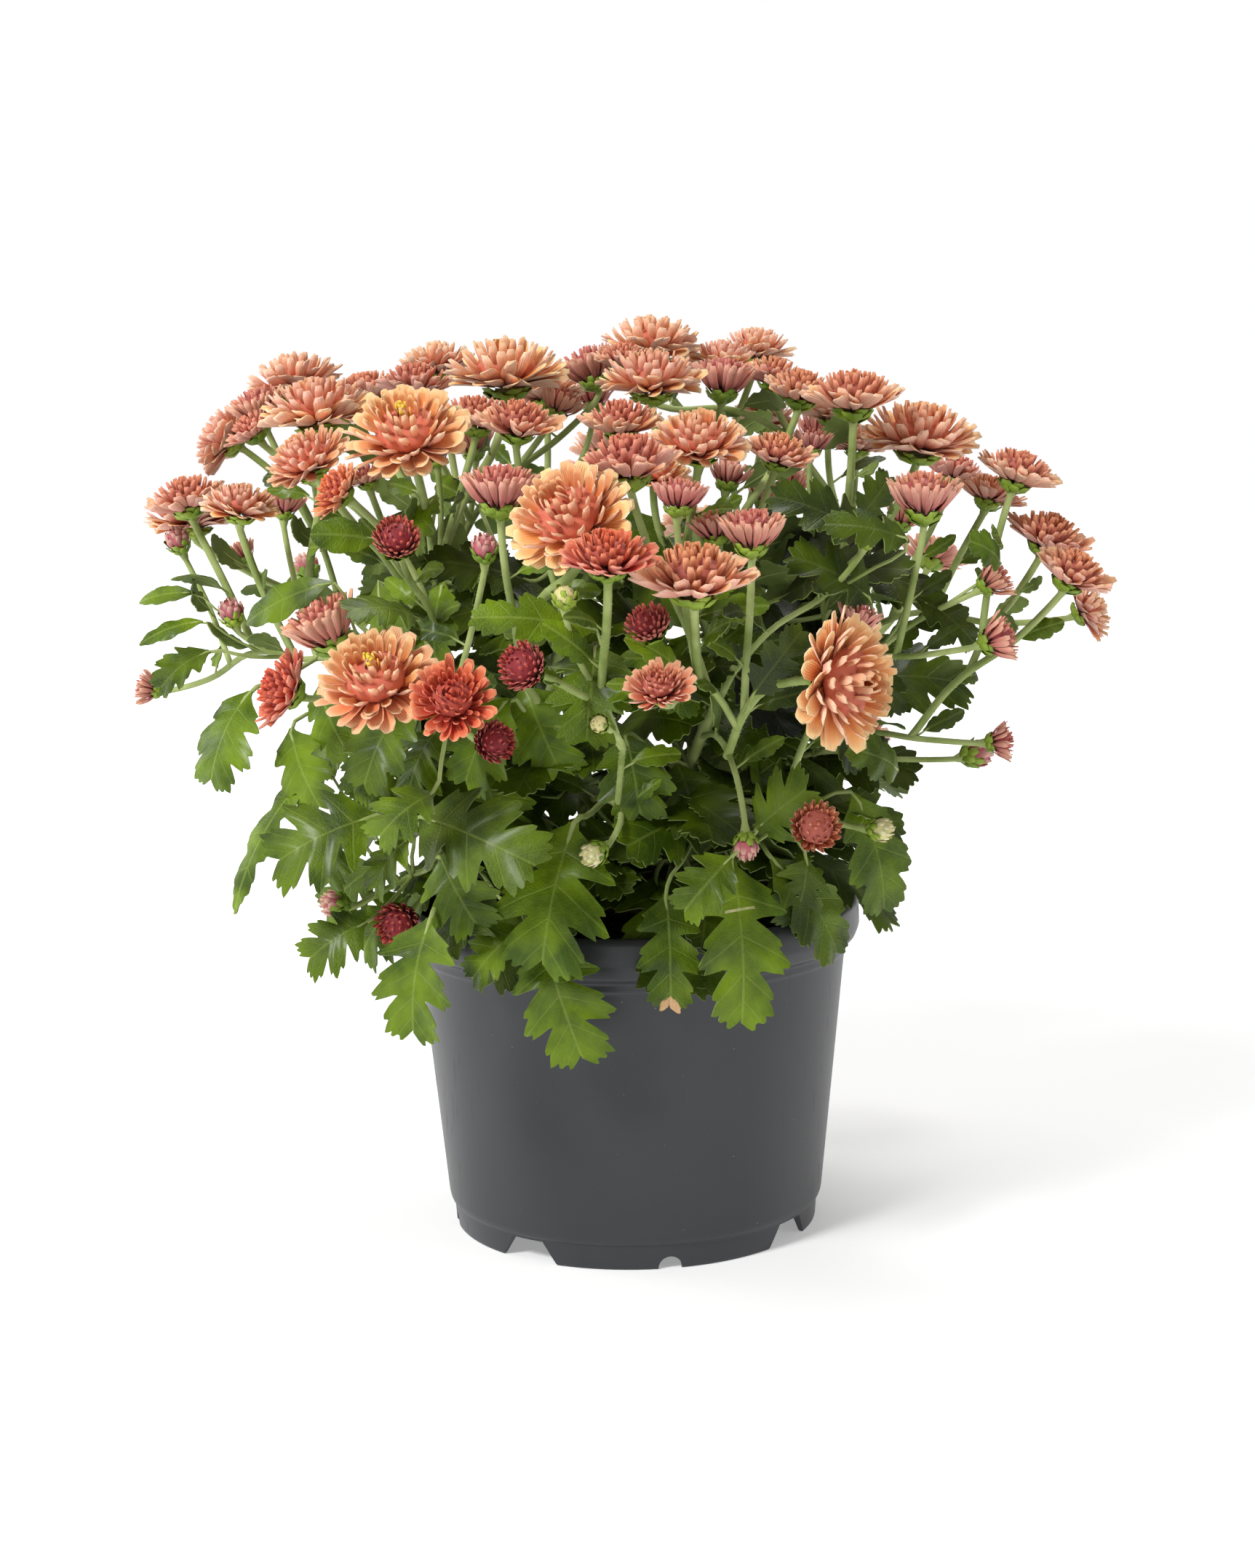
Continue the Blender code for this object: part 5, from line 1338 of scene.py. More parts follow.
# %% The tree of leaves
LEAF_ARCH = 0.1
LEAF_FOLD = 0.16
RIM_ROWS = 42
LOBED_RIM = [(row / RIM_ROWS, share) for row, share in (
    (0, 0.06), (2, 0.1), (4, 0.3), (5, 0.48), (6, 0.67), (7, 0.6), (8, 0.64), (9, 0.79), (10, 0.86),
    (11, 0.77), (12, 0.56), (13, 0.4), (14, 0.29), (15, 0.54), (16, 0.79), (17, 0.85), (18, 0.75),
    (19, 0.9), (20, 1.0), (21, 0.95), (22, 0.81), (23, 0.86), (24, 0.66), (25, 0.45), (26, 0.34),
    (27, 0.57), (28, 0.74), (29, 0.77), (30, 0.67), (31, 0.77), (32, 0.83), (33, 0.74), (34, 0.6),
    (35, 0.64), (36, 0.59), (37, 0.45), (38, 0.4), (39, 0.43), (40, 0.36), (41, 0.2), (42, 0.0),
)]
PLAIN_RIM = [(0.0, 0.05), (0.1, 0.34), (0.3, 0.85), (0.45, 1.0), (0.7, 0.76), (0.9, 0.3), (1.0, 0.0)]


def leaf_tree():
    """A leaf's blade, flat at the origin but for its arch, fold and waves, with its tip at +Y."""
    tree, sizes = new_tree("lobed_leaf", {
        "Rows": 43, "Length": 0.05, "Half Width": 0.018, "Lobing": 1.0, "Arch": LEAF_ARCH,
        "Fold": LEAF_FOLD, "Wave": 0.05, "Curl": 0.1, "Turn": 0.0, "Tone": 0.5,
    })
    grid = add(tree, "GeometryNodeMeshGrid", {
        "Size X": 2.0, "Size Y": 1.0, "Vertices X": 5, "Vertices Y": sizes["Rows"]})
    spot = add(tree, SPLIT, add(tree, "GeometryNodeInputPosition")).outputs
    out = spot[0]
    rib = add(tree, "ADD", spot[1], 0.5)
    half_row = 0.5 / RIM_ROWS
    shifted = add(tree, "MULTIPLY_ADD", add(tree, "SIGN", out), half_row, add(tree, "ADD", rib, half_row),
                  use_clamp=True)
    lobed = add(tree, "ShaderNodeFloatCurve", {"Value": shifted})
    set_curve(lobed, LOBED_RIM, "VECTOR")
    plain = add(tree, "ShaderNodeFloatCurve", {"Value": rib})
    set_curve(plain, PLAIN_RIM)
    rim = add(tree, MIX, sizes["Lobing"], plain, lobed)
    reach = add(tree, "MULTIPLY", rim, sizes["Half Width"])
    reach = add(tree, "MULTIPLY", reach, 1.2)
    slant = add(tree, MIX, rib, math.radians(80), math.radians(34))
    far = add(tree, "MULTIPLY", out, reach)
    x = add(tree, "MULTIPLY", far, add(tree, "SINE", slant))
    forward = add(tree, "MULTIPLY", add(tree, "ABSOLUTE", far), add(tree, "COSINE", slant))
    y = add(tree, "MULTIPLY_ADD", rib, sizes["Length"], forward)
    share = add(tree, "DIVIDE", y, sizes["Length"])
    rest = add(tree, "SUBTRACT", 1.0, share)
    hump = add(tree, "MULTIPLY", share, rest)
    hump = add(tree, "MULTIPLY", hump, add(tree, "MULTIPLY", sizes["Arch"], sizes["Length"]))
    hump = add(tree, "MULTIPLY", hump, 4.0)
    across = add(tree, "ABSOLUTE", x)
    z = add(tree, "MULTIPLY_ADD", across, sizes["Fold"], hump)
    bent = add(tree, "DIVIDE", add(tree, "MULTIPLY", across, across), sizes["Half Width"])
    bent = add(tree, "MULTIPLY", bent, sizes["Curl"])
    z = add(tree, "SUBTRACT", z, bent)
    phase = add(tree, "MULTIPLY_ADD", rib, 21.0, sizes["Turn"])
    phase = add(tree, "MULTIPLY_ADD", out, 1.3, phase)
    wave = add(tree, "MULTIPLY", add(tree, "SINE", phase), across)
    z = add(tree, "MULTIPLY_ADD", wave, sizes["Wave"], z)
    # The blade's third value is the leaf's tone: random, less any painted shade from leaf_mesh.
    blade = add(tree, PACK, out, rib, sizes["Tone"])
    leaf = add(tree, STORE, {"Geometry": grid, "Name": "blade", "Value": blade}, data_type="FLOAT_VECTOR")
    leaf = add(tree, STORE, {"Geometry": leaf, "Name": "spread", "Value": x}, data_type="FLOAT")
    leaf = add(tree, "GeometryNodeSetPosition", {"Geometry": leaf, "Position": add(tree, PACK, x, y, z)})
    leaf = add(tree, "GeometryNodeSetShadeSmooth", {"Geometry": leaf, "Shade Smooth": True})
    end_tree(tree, sizes, leaf)
    return tree


leaf_shape = leaf_tree()
print("Nodes in the tree of leaves:", len(leaf_shape.nodes))

# %% [markdown]
# Stalks carry small leaves as well as large ones. Their number, turn and size follow a rule with
# a fixed seed.

# %% Leaves on the stalks
LEAF_FROM = 34 * MM  # shorter stalks have no leaf
TWO_LEAVES_FROM = 62 * MM


def stalk_leaves(k):
    """One small leaf on each middling stalk, two on a long one, and none on the shortest."""
    draw = random.Random(SEED + 20 + k)
    leaves = []
    for _, line in plans[k][0]:
        length = (line[-1] - line[0]).length
        if length < LEAF_FROM:
            continue
        for share in (0.3, 0.62) if length > TWO_LEAVES_FROM else (0.42,):
            start = along(line, share)
            flat = Vector((start.x, start.y, 0)).normalized()
            turn = math.radians(draw.choice((-1, 1)) * draw.uniform(25, 100))
            way = Matrix.Rotation(turn, 3, "Z") @ flat
            at_back = 1.45 if start.y > 60 * MM else 1.0
            size = draw.uniform(17, 27) * (1.15 - 0.5 * share) * at_back * MM
            base = start + (way + UP * 0.7).normalized() * 5 * MM
            tip = base + (way + UP * draw.uniform(0.0, 0.8)).normalized() * size
            leaves.append((start, base, tip, size * draw.uniform(0.36, 0.5), 0.45))
    return leaves


for k in range(LEAFY_STEMS):
    leaf_lines[k] += stalk_leaves(k)
print("Leaves on each cutting:", [len(leaves) for leaves in leaf_lines])

# %% [markdown]
# The back of the plant, which the front view hides, has leaves that hang over the rim just as the
# front has.

# %% Leaves over the rim
HANGING = ((62, 22, -0.75), (70, 46, -0.4), (84, 78, 0.0))  # out and up in mm, and how far a leaf rises
BACK_HANGING = 15
FRONT_HANGING = 4


def hanging_leaves(k):
    """Leaves over the rim: three levels of five in each back quarter, and four in each front one."""
    draw = random.Random(SEED + 40 + k)
    wood = plans[k][1]
    leaves = []
    for i in range(BACK_HANGING if k < 2 else FRONT_HANGING):
        turn = 2 * math.pi * (k + (i % 5 + draw.uniform(0.2, 0.8)) / 5) / LEAFY_STEMS
        out, high, rise = HANGING[i // 5]
        base = heading(turn) * (out * MM) + UP * (SOIL_TOP + high * MM + draw.uniform(-8, 8) * MM)
        size = draw.uniform(44, 60) * MM
        rise += draw.uniform(-0.25, 0.15)
        side = heading(turn + math.radians(draw.uniform(-35, 35)))
        tip = base + (side + UP * rise).normalized() * size
        start = min(wood, key=lambda p: (p - base).length)
        leaves.append((start, base, tip, size * draw.uniform(0.56, 0.7), 0.95))
    return leaves


for k in range(LEAFY_STEMS):
    leaf_lines[k] += hanging_leaves(k)
print("Leaves on each cutting:", [len(leaves) for leaves in leaf_lines])

# %% [markdown]
# Between the stems it is dark with leaves, which follow a rule too. A few small ones low on the
# near side are listed like the large ones, because gaps would show there.

# %% Leaves inside the plant
INNER_LEAVES = 42
FILLINGS = [
    Leaf(*row)
    for row in (
        ((564, 1150), 92, (515, 1222), 96, 24),
        ((534, 1018), 86, (486, 1088), 92, 24),
        ((606, 1180), 104, (654, 1270), 112, 30),
        ((470, 1130), 84, (452, 1215), 88, 22),
        ((520, 1190), 58, (450, 1250), 56, 28),
        ((560, 1230), 66, (500, 1305), 64, 30),
        ((1110, 1180), 84, (1090, 1270), 92, 26),
        ((604, 1000), 74, (562, 1090), 80, 34),
        ((560, 1030), 62, (500, 1100), 66, 30),
    )
]


def inner_leaves(k):
    """Leaves between the stems, six to a level, from the compost up into the dome."""
    draw = random.Random(SEED + 80 + k)
    wood = plans[k][1]
    leaves = []
    for i in range(INNER_LEAVES):
        turn = 2 * math.pi * (k + (i % 6 + draw.uniform(0.1, 0.9)) / 6) / LEAFY_STEMS
        level = i // 6 / (INNER_LEAVES // 6)
        out = (38 + 24 * level + draw.uniform(-18, 28)) * MM
        base = heading(turn) * out + UP * (152 + 135 * level + draw.uniform(-8, 8)) * MM
        way = heading(turn + math.radians(draw.uniform(-60, 60)))
        tip = base + (way + UP * draw.uniform(-0.35, 0.5)).normalized() * draw.uniform(38, 56) * MM
        start = min(wood, key=lambda p: (p - base).length)
        leaves.append((start, base, tip, (tip - base).length * draw.uniform(0.55, 0.7), 0.8))
    return leaves


def filling_leaves(k):
    """Small leaves low on the near side, which close the gaps between the large ones."""
    leaves = []
    for leaf in FILLINGS:
        base = sight(*leaf.base, leaf.forward * MM)
        tip = sight(*leaf.tip, leaf.tip_forward * MM)
        if sector((base + tip) / 2) == k:
            start = min(plans[k][1], key=lambda p: (p - base).length)
            leaves.append((start, base, tip, leaf.width * MM, 0.9))
    return leaves


for k in range(LEAFY_STEMS):
    leaf_lines[k] += inner_leaves(k) + filling_leaves(k)
print("Leaves on each cutting:", [len(leaves) for leaves in leaf_lines])

# %% [markdown]
# Each leaf's blade is grown flat at the origin and then set on its line by one matrix. Its
# stalk runs on under the blade as the midrib, so blade and stem are one form.

# %% A leaf from its line
TO_LIGHT = Vector((0, -0.7, 0))
TO_SKY = 0.6
INSIDE = 75 * MM
# Painted shade: how much darker a leaf is made inside the plant, on the right, and under the heads on the
# right.
INNER_SHADE = 0.6
RIGHT_SHADE = 0.32
UNDER_HEADS_SHADE = 0.85
SLIM_LEAF_STALK = 0.3
LEAF_STALK_GAIN = 20


def leaf_matrix(base, tip):
    """The leaf's own axes: X across, Y from base to tip, Z out of its upper face.

    Leaves at both sides, from the near half to just behind the middle, turn towards the front.
    """
    ahead = (tip - base).normalized()
    middle = (base + tip) / 2
    facing = Vector((middle.x, middle.y, 0)).normalized() + UP * TO_SKY
    if middle.y < 0.03 and abs(middle.x) > 0.09:
        facing += TO_LIGHT
    face = (facing - ahead * facing.dot(ahead)).normalized()
    across = ahead.cross(face)
    return Matrix.Translation(base) @ Matrix((across, ahead, face)).transposed().to_4x4()


def leaf_mesh(leaf, draw):
    """A leaf's blade on its line, with painted shade inside the plant and on the side away from the light.
    """
    _, base, tip, width, lobing = leaf
    length = (tip - base).length
    # Painted shade: a leaf low inside the plant is made darker.
    shade = INNER_SHADE if math.hypot(base.x, base.y) < INSIDE and base.z < 0.3 else 0.0
    wave = draw.uniform(0.03, 0.12)
    curl = draw.uniform(0.0, 0.45)
    turn = draw.uniform(0.0, 6.0)
    tone = draw.random()
    # Painted shade: leaves on the right are made darker, those under the heads most and with less random
    # tone.
    if base.x > 40 * MM:
        under_heads = base.x < 115 * MM and base.z > 225 * MM
        shade += UNDER_HEADS_SHADE if under_heads else RIGHT_SHADE
        tone *= 0.35 if under_heads else 1.0
    fine = width > 17 * MM or lobing > 0.6
    # The Tone input carries the leaf's random tone less its painted shade.
    mesh = grow("leaf", [(leaf_shape, {
        "Rows": 43 if fine else 23, "Length": length, "Half Width": width / 2, "Lobing": float(lobing),
        "Arch": LEAF_ARCH, "Fold": LEAF_FOLD, "Wave": wave, "Curl": curl, "Turn": turn,
        "Tone": tone - shade, "Material": LEAF_TOP})])
    mesh.transform(leaf_matrix(base, tip))
    return mesh


def leaf_stalk(leaf):
    """The line of a leaf's stalk and, under its blade, of its midrib."""
    start, base, tip, width, _ = leaf
    place = leaf_matrix(base, tip)
    length = (tip - base).length
    thick = (SLIM_LEAF_STALK + LEAF_STALK_GAIN * width) * MM
    line = [(start, thick * 1.1), (base.lerp(start, 0.45) - UP * 1.2 * MM, thick), (base, thick * 0.95)]
    for share in (0.2, 0.4, 0.6):
        arch = LEAF_ARCH * length * 4 * share * (1 - share)
        spot = place @ Vector((0, share * length, arch - thick * (1.1 - share)))
        line.append((spot, thick * (0.85 - share)))
    return line


print("Points along a leaf's stalk:", len(leaf_stalk(leaf_lines[0][0])))

# %% [markdown]
# Solidify gives the blades their thickness, with the dull underside on the lower face. Each
# cutting then becomes two pieces, its green parts and its small heads, for its one CAD node.

# %% The leafy stems
BLADE_THICKNESS = 0.5 * MM
CALYX_SEED = 900


def thicken(obj, thickness):
    """The mesh of open blades with their thickness, and with the underside's material below."""
    obj.data.materials.append(LEAF_UNDER)
    shell = obj.modifiers.new("thickness", "SOLIDIFY")
    shell.thickness = thickness
    shell.offset = -1
    shell.material_offset = 1
    shell.material_offset_rim = 1
    graph = bpy.context.evaluated_depsgraph_get()
    mesh = bpy.data.meshes.new_from_object(obj.evaluated_get(graph))
    obj.modifiers.clear()
    obj.data = mesh
    mesh.set_sharp_from_angle(angle=math.radians(60))
    return mesh


for k in range(LEAFY_STEMS):
    draw = random.Random(SEED + 60 + k)
    node = f"leafy_stem_{k + 1}"
    blades = join("blades", [leaf_mesh(leaf, draw) for leaf in leaf_lines[k]])
    blade_mesh = thicken(blades, BLADE_THICKNESS)
    bpy.data.objects.remove(blades, do_unlink=True)
    wood = grow("wood", [(stems, {"Material": STEM}), (down, {"Material": DOWN, "Seed": k})],
                stem_curve(stem_lines(k)))
    slim = grow("slim", [(stems, {"Material": STEM, "Sides": 7, "Step": 0.006, "Rib": 0.0})],
                stem_curve([leaf_stalk(leaf) for leaf in leaf_lines[k]]))
    mine = [i for i, head in enumerate(heads) if sector(head[1]) == k]
    cups = [calyx_mesh(heads[i], CALYX_SEED + i) for i in mine]
    dress(join(f"{node}_green", [blade_mesh, wood, slim] + cups), "foliage", node)
    small = [head_mesh(heads[i], i) for i in mine if i >= OWN_HEADS]
    dress(join(f"{node}_small_heads", small), "petals_mauve", node)
    print(made[-2], made[-1])

# %% [markdown]
# ## The pot
#
# The pot is injection-moulded polypropylene, a thin wall turned about one axis, so its section
# is drawn once and spun. The corners of the section are rounded first, because a mould has no
# knife edges and the light along them is what shows the form.

# %% The pot's section
RIM_RADIUS = 95 * MM
RIM_TOP = 137 * MM
RIM_BOTTOM = 118.5 * MM
COLLAR_RADIUS = 89.5 * MM
COLLAR_BOTTOM = 114.5 * MM
BODY_TOP_RADIUS = 88.8 * MM
STEP_RADIUS = 78.6 * MM
STEP_HEIGHT = 10.3 * MM
FOOT_RADIUS = 75.9 * MM
FLOOR_TOP = 11.5 * MM
WALL = 1.5 * MM
CORNER = 1.1 * MM


def rounded(points, radius, steps=3):
    """The closed section with its corners turned into short curves, save those on the axis."""
    smooth = []
    for i, corner in enumerate(points):
        corner = Vector(corner)
        before, after = Vector(points[i - 1]), Vector(points[(i + 1) % len(points)])
        if corner.x < MM:
            smooth.append(corner)
            continue
        a = corner + (before - corner).normalized() * min(radius, (before - corner).length * 0.45)
        b = corner + (after - corner).normalized() * min(radius, (after - corner).length * 0.45)
        for j in range(steps + 1):
            t = j / steps
            smooth.append(a * (1 - t) ** 2 + corner * 2 * t * (1 - t) + b * t**2)
    return smooth


def inner_radius(height):
    """Of the pot's tapered wall."""
    share = (height - STEP_HEIGHT) / (COLLAR_BOTTOM - STEP_HEIGHT)
    return STEP_RADIUS + (BODY_TOP_RADIUS - STEP_RADIUS) * share - WALL


POT_SECTION = [
    (FOOT_RADIUS, 0),
    (FOOT_RADIUS + 0.8 * MM, STEP_HEIGHT),
    (STEP_RADIUS - 0.8 * MM, STEP_HEIGHT + 0.2 * MM),
    (STEP_RADIUS, STEP_HEIGHT + 2.5 * MM),
    (BODY_TOP_RADIUS, COLLAR_BOTTOM),
    (COLLAR_RADIUS, COLLAR_BOTTOM + 0.7 * MM),
    (COLLAR_RADIUS, RIM_BOTTOM),
    (RIM_RADIUS - 1.8 * MM, RIM_BOTTOM + 2.2 * MM),
    (RIM_RADIUS, RIM_BOTTOM + 7 * MM),
    (RIM_RADIUS - 0.3 * MM, RIM_TOP - 2 * MM),
    (RIM_RADIUS - 1.5 * MM, RIM_TOP),
    (RIM_RADIUS - 3 * MM, RIM_TOP),
    (RIM_RADIUS - 4 * MM, RIM_TOP - 1.5 * MM),
    (COLLAR_RADIUS - WALL, RIM_BOTTOM + 3 * MM),
    (inner_radius(COLLAR_BOTTOM), COLLAR_BOTTOM),
    (inner_radius(FLOOR_TOP + 3 * MM), FLOOR_TOP + 3 * MM),
    (STEP_RADIUS - 6 * MM, FLOOR_TOP),
    (0, FLOOR_TOP),
    (0, FLOOR_TOP - 2 * MM),
    (FOOT_RADIUS - 3 * MM, FLOOR_TOP - 2 * MM),
    (FOOT_RADIUS - 2.2 * MM, 0),
]
print("Corners:", len(POT_SECTION), "and rounded:", len(rounded(POT_SECTION, CORNER)))

# %% [markdown]
# The section is spun about the pot's axis. Four wide notches with a small round one between each
# two, and the drain holes in the floor, are cut from it by one Boolean.

# %% Spin and cuts
FOOT_NOTCHES = 4
NOTCH_TURN = math.radians(-35)
NOTCH_TOP = 15 * MM
NOTCH_BOTTOM = 29.6 * MM
NOTCH_HEIGHT = 9.2 * MM
ROUND_NOTCH = 4.8 * MM
DRAIN_HOLE = 5 * MM
DRAIN_RING = 52 * MM
THROUGH = 16 * MM


def spun_pot(sides=108):
    """The section turned once about the pot's axis."""
    bm = bmesh.new()
    verts = [bm.verts.new((p.x, 0, p.y)) for p in rounded(POT_SECTION, CORNER)]
    edges = [bm.edges.new((verts[i - 1], verts[i])) for i in range(len(verts))]
    bmesh.ops.spin(bm, geom=verts + edges, cent=(0, 0, 0), axis=(0, 0, 1), angle=2 * math.pi,
                   steps=sides, use_merge=True)
    bmesh.ops.remove_doubles(bm, verts=bm.verts, dist=0.005 * MM)
    bmesh.ops.recalc_face_normals(bm, faces=bm.faces)
    return to_object(bm, "pot_moulded")


def to_object(bm, name):
    """A plain object in the scene from this mesh under construction."""
    mesh = bpy.data.meshes.new(name)
    bm.to_mesh(mesh)
    bm.free()
    obj = bpy.data.objects.new(name, mesh)
    bpy.context.scene.collection.objects.link(obj)
    return obj


def foot_cutters():
    """Wide sloping notches, small round ones between them, and the drain holes."""
    bm = bmesh.new()
    for i in range(FOOT_NOTCHES):
        turn = NOTCH_TURN + 2 * math.pi * i / FOOT_NOTCHES
        spot = Matrix.Rotation(turn, 4, "Z")
        cube = bmesh.ops.create_cube(bm, size=1)["verts"]
        for vert in cube:
            high = vert.co.z > 0
            vert.co.x *= NOTCH_TOP if high else NOTCH_BOTTOM
            vert.co.y = -FOOT_RADIUS + vert.co.y * THROUGH
            vert.co.z = NOTCH_HEIGHT if high else -2 * MM
            vert.co = spot @ vert.co
        half = Matrix.Rotation(turn + math.pi / FOOT_NOTCHES, 4, "Z")
        lying = Matrix.Translation((0, -FOOT_RADIUS, 0.4 * MM)) @ Matrix.Rotation(math.pi / 2, 4, "X")
        bmesh.ops.create_cone(bm, cap_ends=True, segments=32, radius1=ROUND_NOTCH, radius2=ROUND_NOTCH,
                              depth=THROUGH, matrix=half @ lying)
        standing = Matrix.Translation((0, -DRAIN_RING, FLOOR_TOP))
        bmesh.ops.create_cone(bm, cap_ends=True, segments=32, radius1=DRAIN_HOLE, radius2=DRAIN_HOLE,
                              depth=20 * MM, matrix=spot @ standing)
    return to_object(bm, "foot_cutters")


pot = spun_pot()
cutters = foot_cutters()
cut = pot.modifiers.new("foot", "BOOLEAN")
cut.operation = "DIFFERENCE"
cut.object = cutters
cut.solver = "EXACT"
graph = bpy.context.evaluated_depsgraph_get()
pot.data = bpy.data.meshes.new_from_object(pot.evaluated_get(graph))
pot.modifiers.clear()
bpy.data.objects.remove(cutters, do_unlink=True)
print("Triangles in the pot:", triangles(pot))

# %% [markdown]
# Polypropylene from a mould is satin. A faint haze, fine scuffs and a few specks of dust keep it
# from looking new and flat.

# %% The plastic
def plastic_material():
    """Polypropylene, injection moulded: satin, with a faint haze, fine scuffs and specks of dust."""
    made_of, tree, shader = new_material("polypropylene_moulded_grey")
    place = add(tree, "ShaderNodeTexCoord").outputs["Object"]
    haze = add(tree, NOISE, {"Vector": place, "Scale": 14.0, "Detail": 4.0})
    base = add(tree, RAMP, haze, stops=((0.35, "#2A2C30"), (0.65, "#313337")))
    dust = add(tree, NOISE, {"Vector": place, "Scale": 620.0, "Detail": 1.0})
    speck = add(tree, SPAN, {"Value": dust, "From Min": 0.79, "From Max": 0.84})
    mix = add(tree, MIX, speck, base, linear("#6D6F74"), data_type="RGBA")
    stretched = add(tree, "ShaderNodeMapping", {"Vector": place, "Rotation": (0.3, 0.5, 0.2),
                                                "Scale": (900.0, 60.0, 60.0)})
    scratch = add(tree, NOISE, {"Vector": stretched, "Scale": 1.0, "Detail": 2.0})
    scuff = add(tree, SPAN, {
        "Value": scratch, "From Min": 0.62, "From Max": 0.8, "To Min": 0.0, "To Max": 0.14})
    rough = add(tree, "MULTIPLY_ADD", haze, 0.12, 0.33)
    rough = add(tree, "ADD", rough, scuff)
    grain = add(tree, NOISE, {"Vector": place, "Scale": 1300.0, "Detail": 2.0})
    bump = add(tree, BUMP, {"Strength": 0.12, "Distance": 0.0001, "Height": grain})
    plug(tree, shader, {"Base Color": mix, "Roughness": rough, "Normal": bump, "IOR": 1.49})
    return made_of


pot.data.materials.clear()
pot.data.materials.append(plastic_material())
pot.data.shade_smooth()
pot.data.set_sharp_from_angle(angle=math.radians(32))
dress(pot, "pot_plastic", "pot")
print(made[-1])

# %% [markdown]
# ## The compost
#
# Peat compost is a dark, springy crumb. One smooth mound would look like mud, and thousands of
# modelled crumbs would be too many, so a rough mound carries the form and a tree scatters a
# layer of squashed crumbs from 1 to 4 mm over its top.

# %% The mound
SOIL_EDGE = 126 * MM
LUMPS = ((3.2, 60), (1.6, 190), (0.8, 520))  # how high in mm, and how many to the metre


def soil_height(x, y, radius):
    """The mound's top: highest in the middle, and rough in three sizes."""
    share = math.hypot(x, y) / radius
    spot = Vector((x, y, 0))
    rough = sum(high * noise.noise(spot * close) for high, close in LUMPS)
    return SOIL_EDGE + (SOIL_TOP - SOIL_EDGE) * (1 - share**2) + rough * MM * (1.15 - 0.5 * share)


def mound(rings=36, sides=96):
    """The compost's body, which fills the pot down to its floor."""
    radius = inner_radius(COLLAR_BOTTOM) - GAP
    bm = bmesh.new()
    loops = []
    for i in range(1, rings + 1):
        loop = []
        for j in range(sides):
            turn = 2 * math.pi * j / sides
            x = radius * i / rings * math.cos(turn)
            y = radius * i / rings * math.sin(turn)
            loop.append(bm.verts.new((x, y, soil_height(x, y, radius))))
        loops.append(loop)
    bottom = FLOOR_TOP + 3.4 * MM
    low = inner_radius(bottom) - 1.0 * MM
    for reach, height in ((radius, COLLAR_BOTTOM), (low, bottom)):
        loops.append([bm.verts.new((reach * math.cos(2 * math.pi * j / sides),
                                    reach * math.sin(2 * math.pi * j / sides), height))
                      for j in range(sides)])
    top = bm.verts.new((0, 0, soil_height(0, 0, radius)))
    for j in range(sides):
        bm.faces.new((top, loops[0][j], loops[0][(j + 1) % sides]))
        for inner, outer in zip(loops, loops[1:]):
            bm.faces.new((inner[j], outer[j], outer[(j + 1) % sides], inner[(j + 1) % sides]))
    bm.faces.new(reversed(loops[-1]))
    bmesh.ops.recalc_face_normals(bm, faces=bm.faces)
    mesh = bpy.data.meshes.new("mound")
    bm.to_mesh(mesh)
    bm.free()
    mesh.shade_smooth()
    return mesh


rough_top = mound()
print("Faces of the mound:", len(rough_top.polygons))

# %% [markdown]
# The tree of crumbs keeps to faces that look up. Each crumb has its own size, squash and turn.

# %% The tree of crumbs
def crumb_tree():
    """Squashed crumbs on all that faces up."""
    tree, sizes = new_tree("peat_crumbs", {"Density": 32000.0, "Seed": 5, "Smallest": 0.0006,
                                           "Largest": 0.0022})
    up = add(tree, SPLIT, add(tree, "GeometryNodeInputNormal")).outputs[2]
    on_top = add(tree, "GREATER_THAN", up, 0.3)
    spots = add(tree, "GeometryNodeDistributePointsOnFaces", {
        "Mesh": sizes["Geometry"], "Selection": on_top, "Density": sizes["Density"],
        "Seed": sizes["Seed"]})
    crumb = add(tree, "GeometryNodeMeshIcoSphere", {"Radius": 1.0, "Subdivisions": 1})
    size = add(tree, "FunctionNodeRandomValue", {0: sizes["Smallest"], 1: sizes["Largest"]},
               data_type="FLOAT")
    uneven = add(tree, "FunctionNodeRandomValue", {0: (0.5, 0.5, 0.35), 1: (1.4, 1.2, 0.9), "Seed": 2},
                 data_type="FLOAT_VECTOR")
    scale = add(tree, VECTOR, uneven, size, operation="SCALE")
    turn = add(tree, "FunctionNodeRandomValue", {0: (0.0, 0.0, 0.0), 1: (6.3, 6.3, 6.3), "Seed": 3},
               data_type="FLOAT_VECTOR")
    turn = add(tree, "FunctionNodeEulerToRotation", turn)
    crumbs = add(tree, "GeometryNodeInstanceOnPoints", {
        "Points": spots.outputs["Points"], "Instance": crumb, "Rotation": turn, "Scale": scale})
    end_tree(tree, sizes, crumbs)
    return tree


crumbs = crumb_tree()
print("Nodes in the tree of crumbs:", len(crumbs.nodes))

# %% [markdown]
# Moist milled peat is nearly black, with paler fibres, and has no shine.

# %% The compost
def peat_material():
    """Peat compost, moist and milled: nearly black, with paler fibres and no shine."""
    made_of, tree, shader = new_material("peat_compost_milled")
    place = add(tree, "ShaderNodeTexCoord").outputs["Object"]
    clods = add(tree, NOISE, {"Vector": place, "Scale": 420.0, "Detail": 4.0})
    ramp = add(tree, RAMP, clods, stops=((0.36, "#17110D"), (0.54, "#2C2118"), (0.72, "#57432F")))
    bump = add(tree, BUMP, {"Strength": 0.8, "Distance": 0.0006, "Height": clods})
    plug(tree, shader, {
        "Base Color": ramp, "Normal": bump, "Roughness": 0.95, "Specular IOR Level": 0.2,
    })
    return made_of


PEAT = peat_material()
rough_top.materials.append(PEAT)
holder = bpy.data.objects.new("mound", rough_top)
compost = join("compost_crumbly", [grow("compost", [(crumbs, {"Material": PEAT})], rough_top)])
bpy.data.objects.remove(holder, do_unlink=True)
dress(compost, "compost", "soil")
print(made[-1])

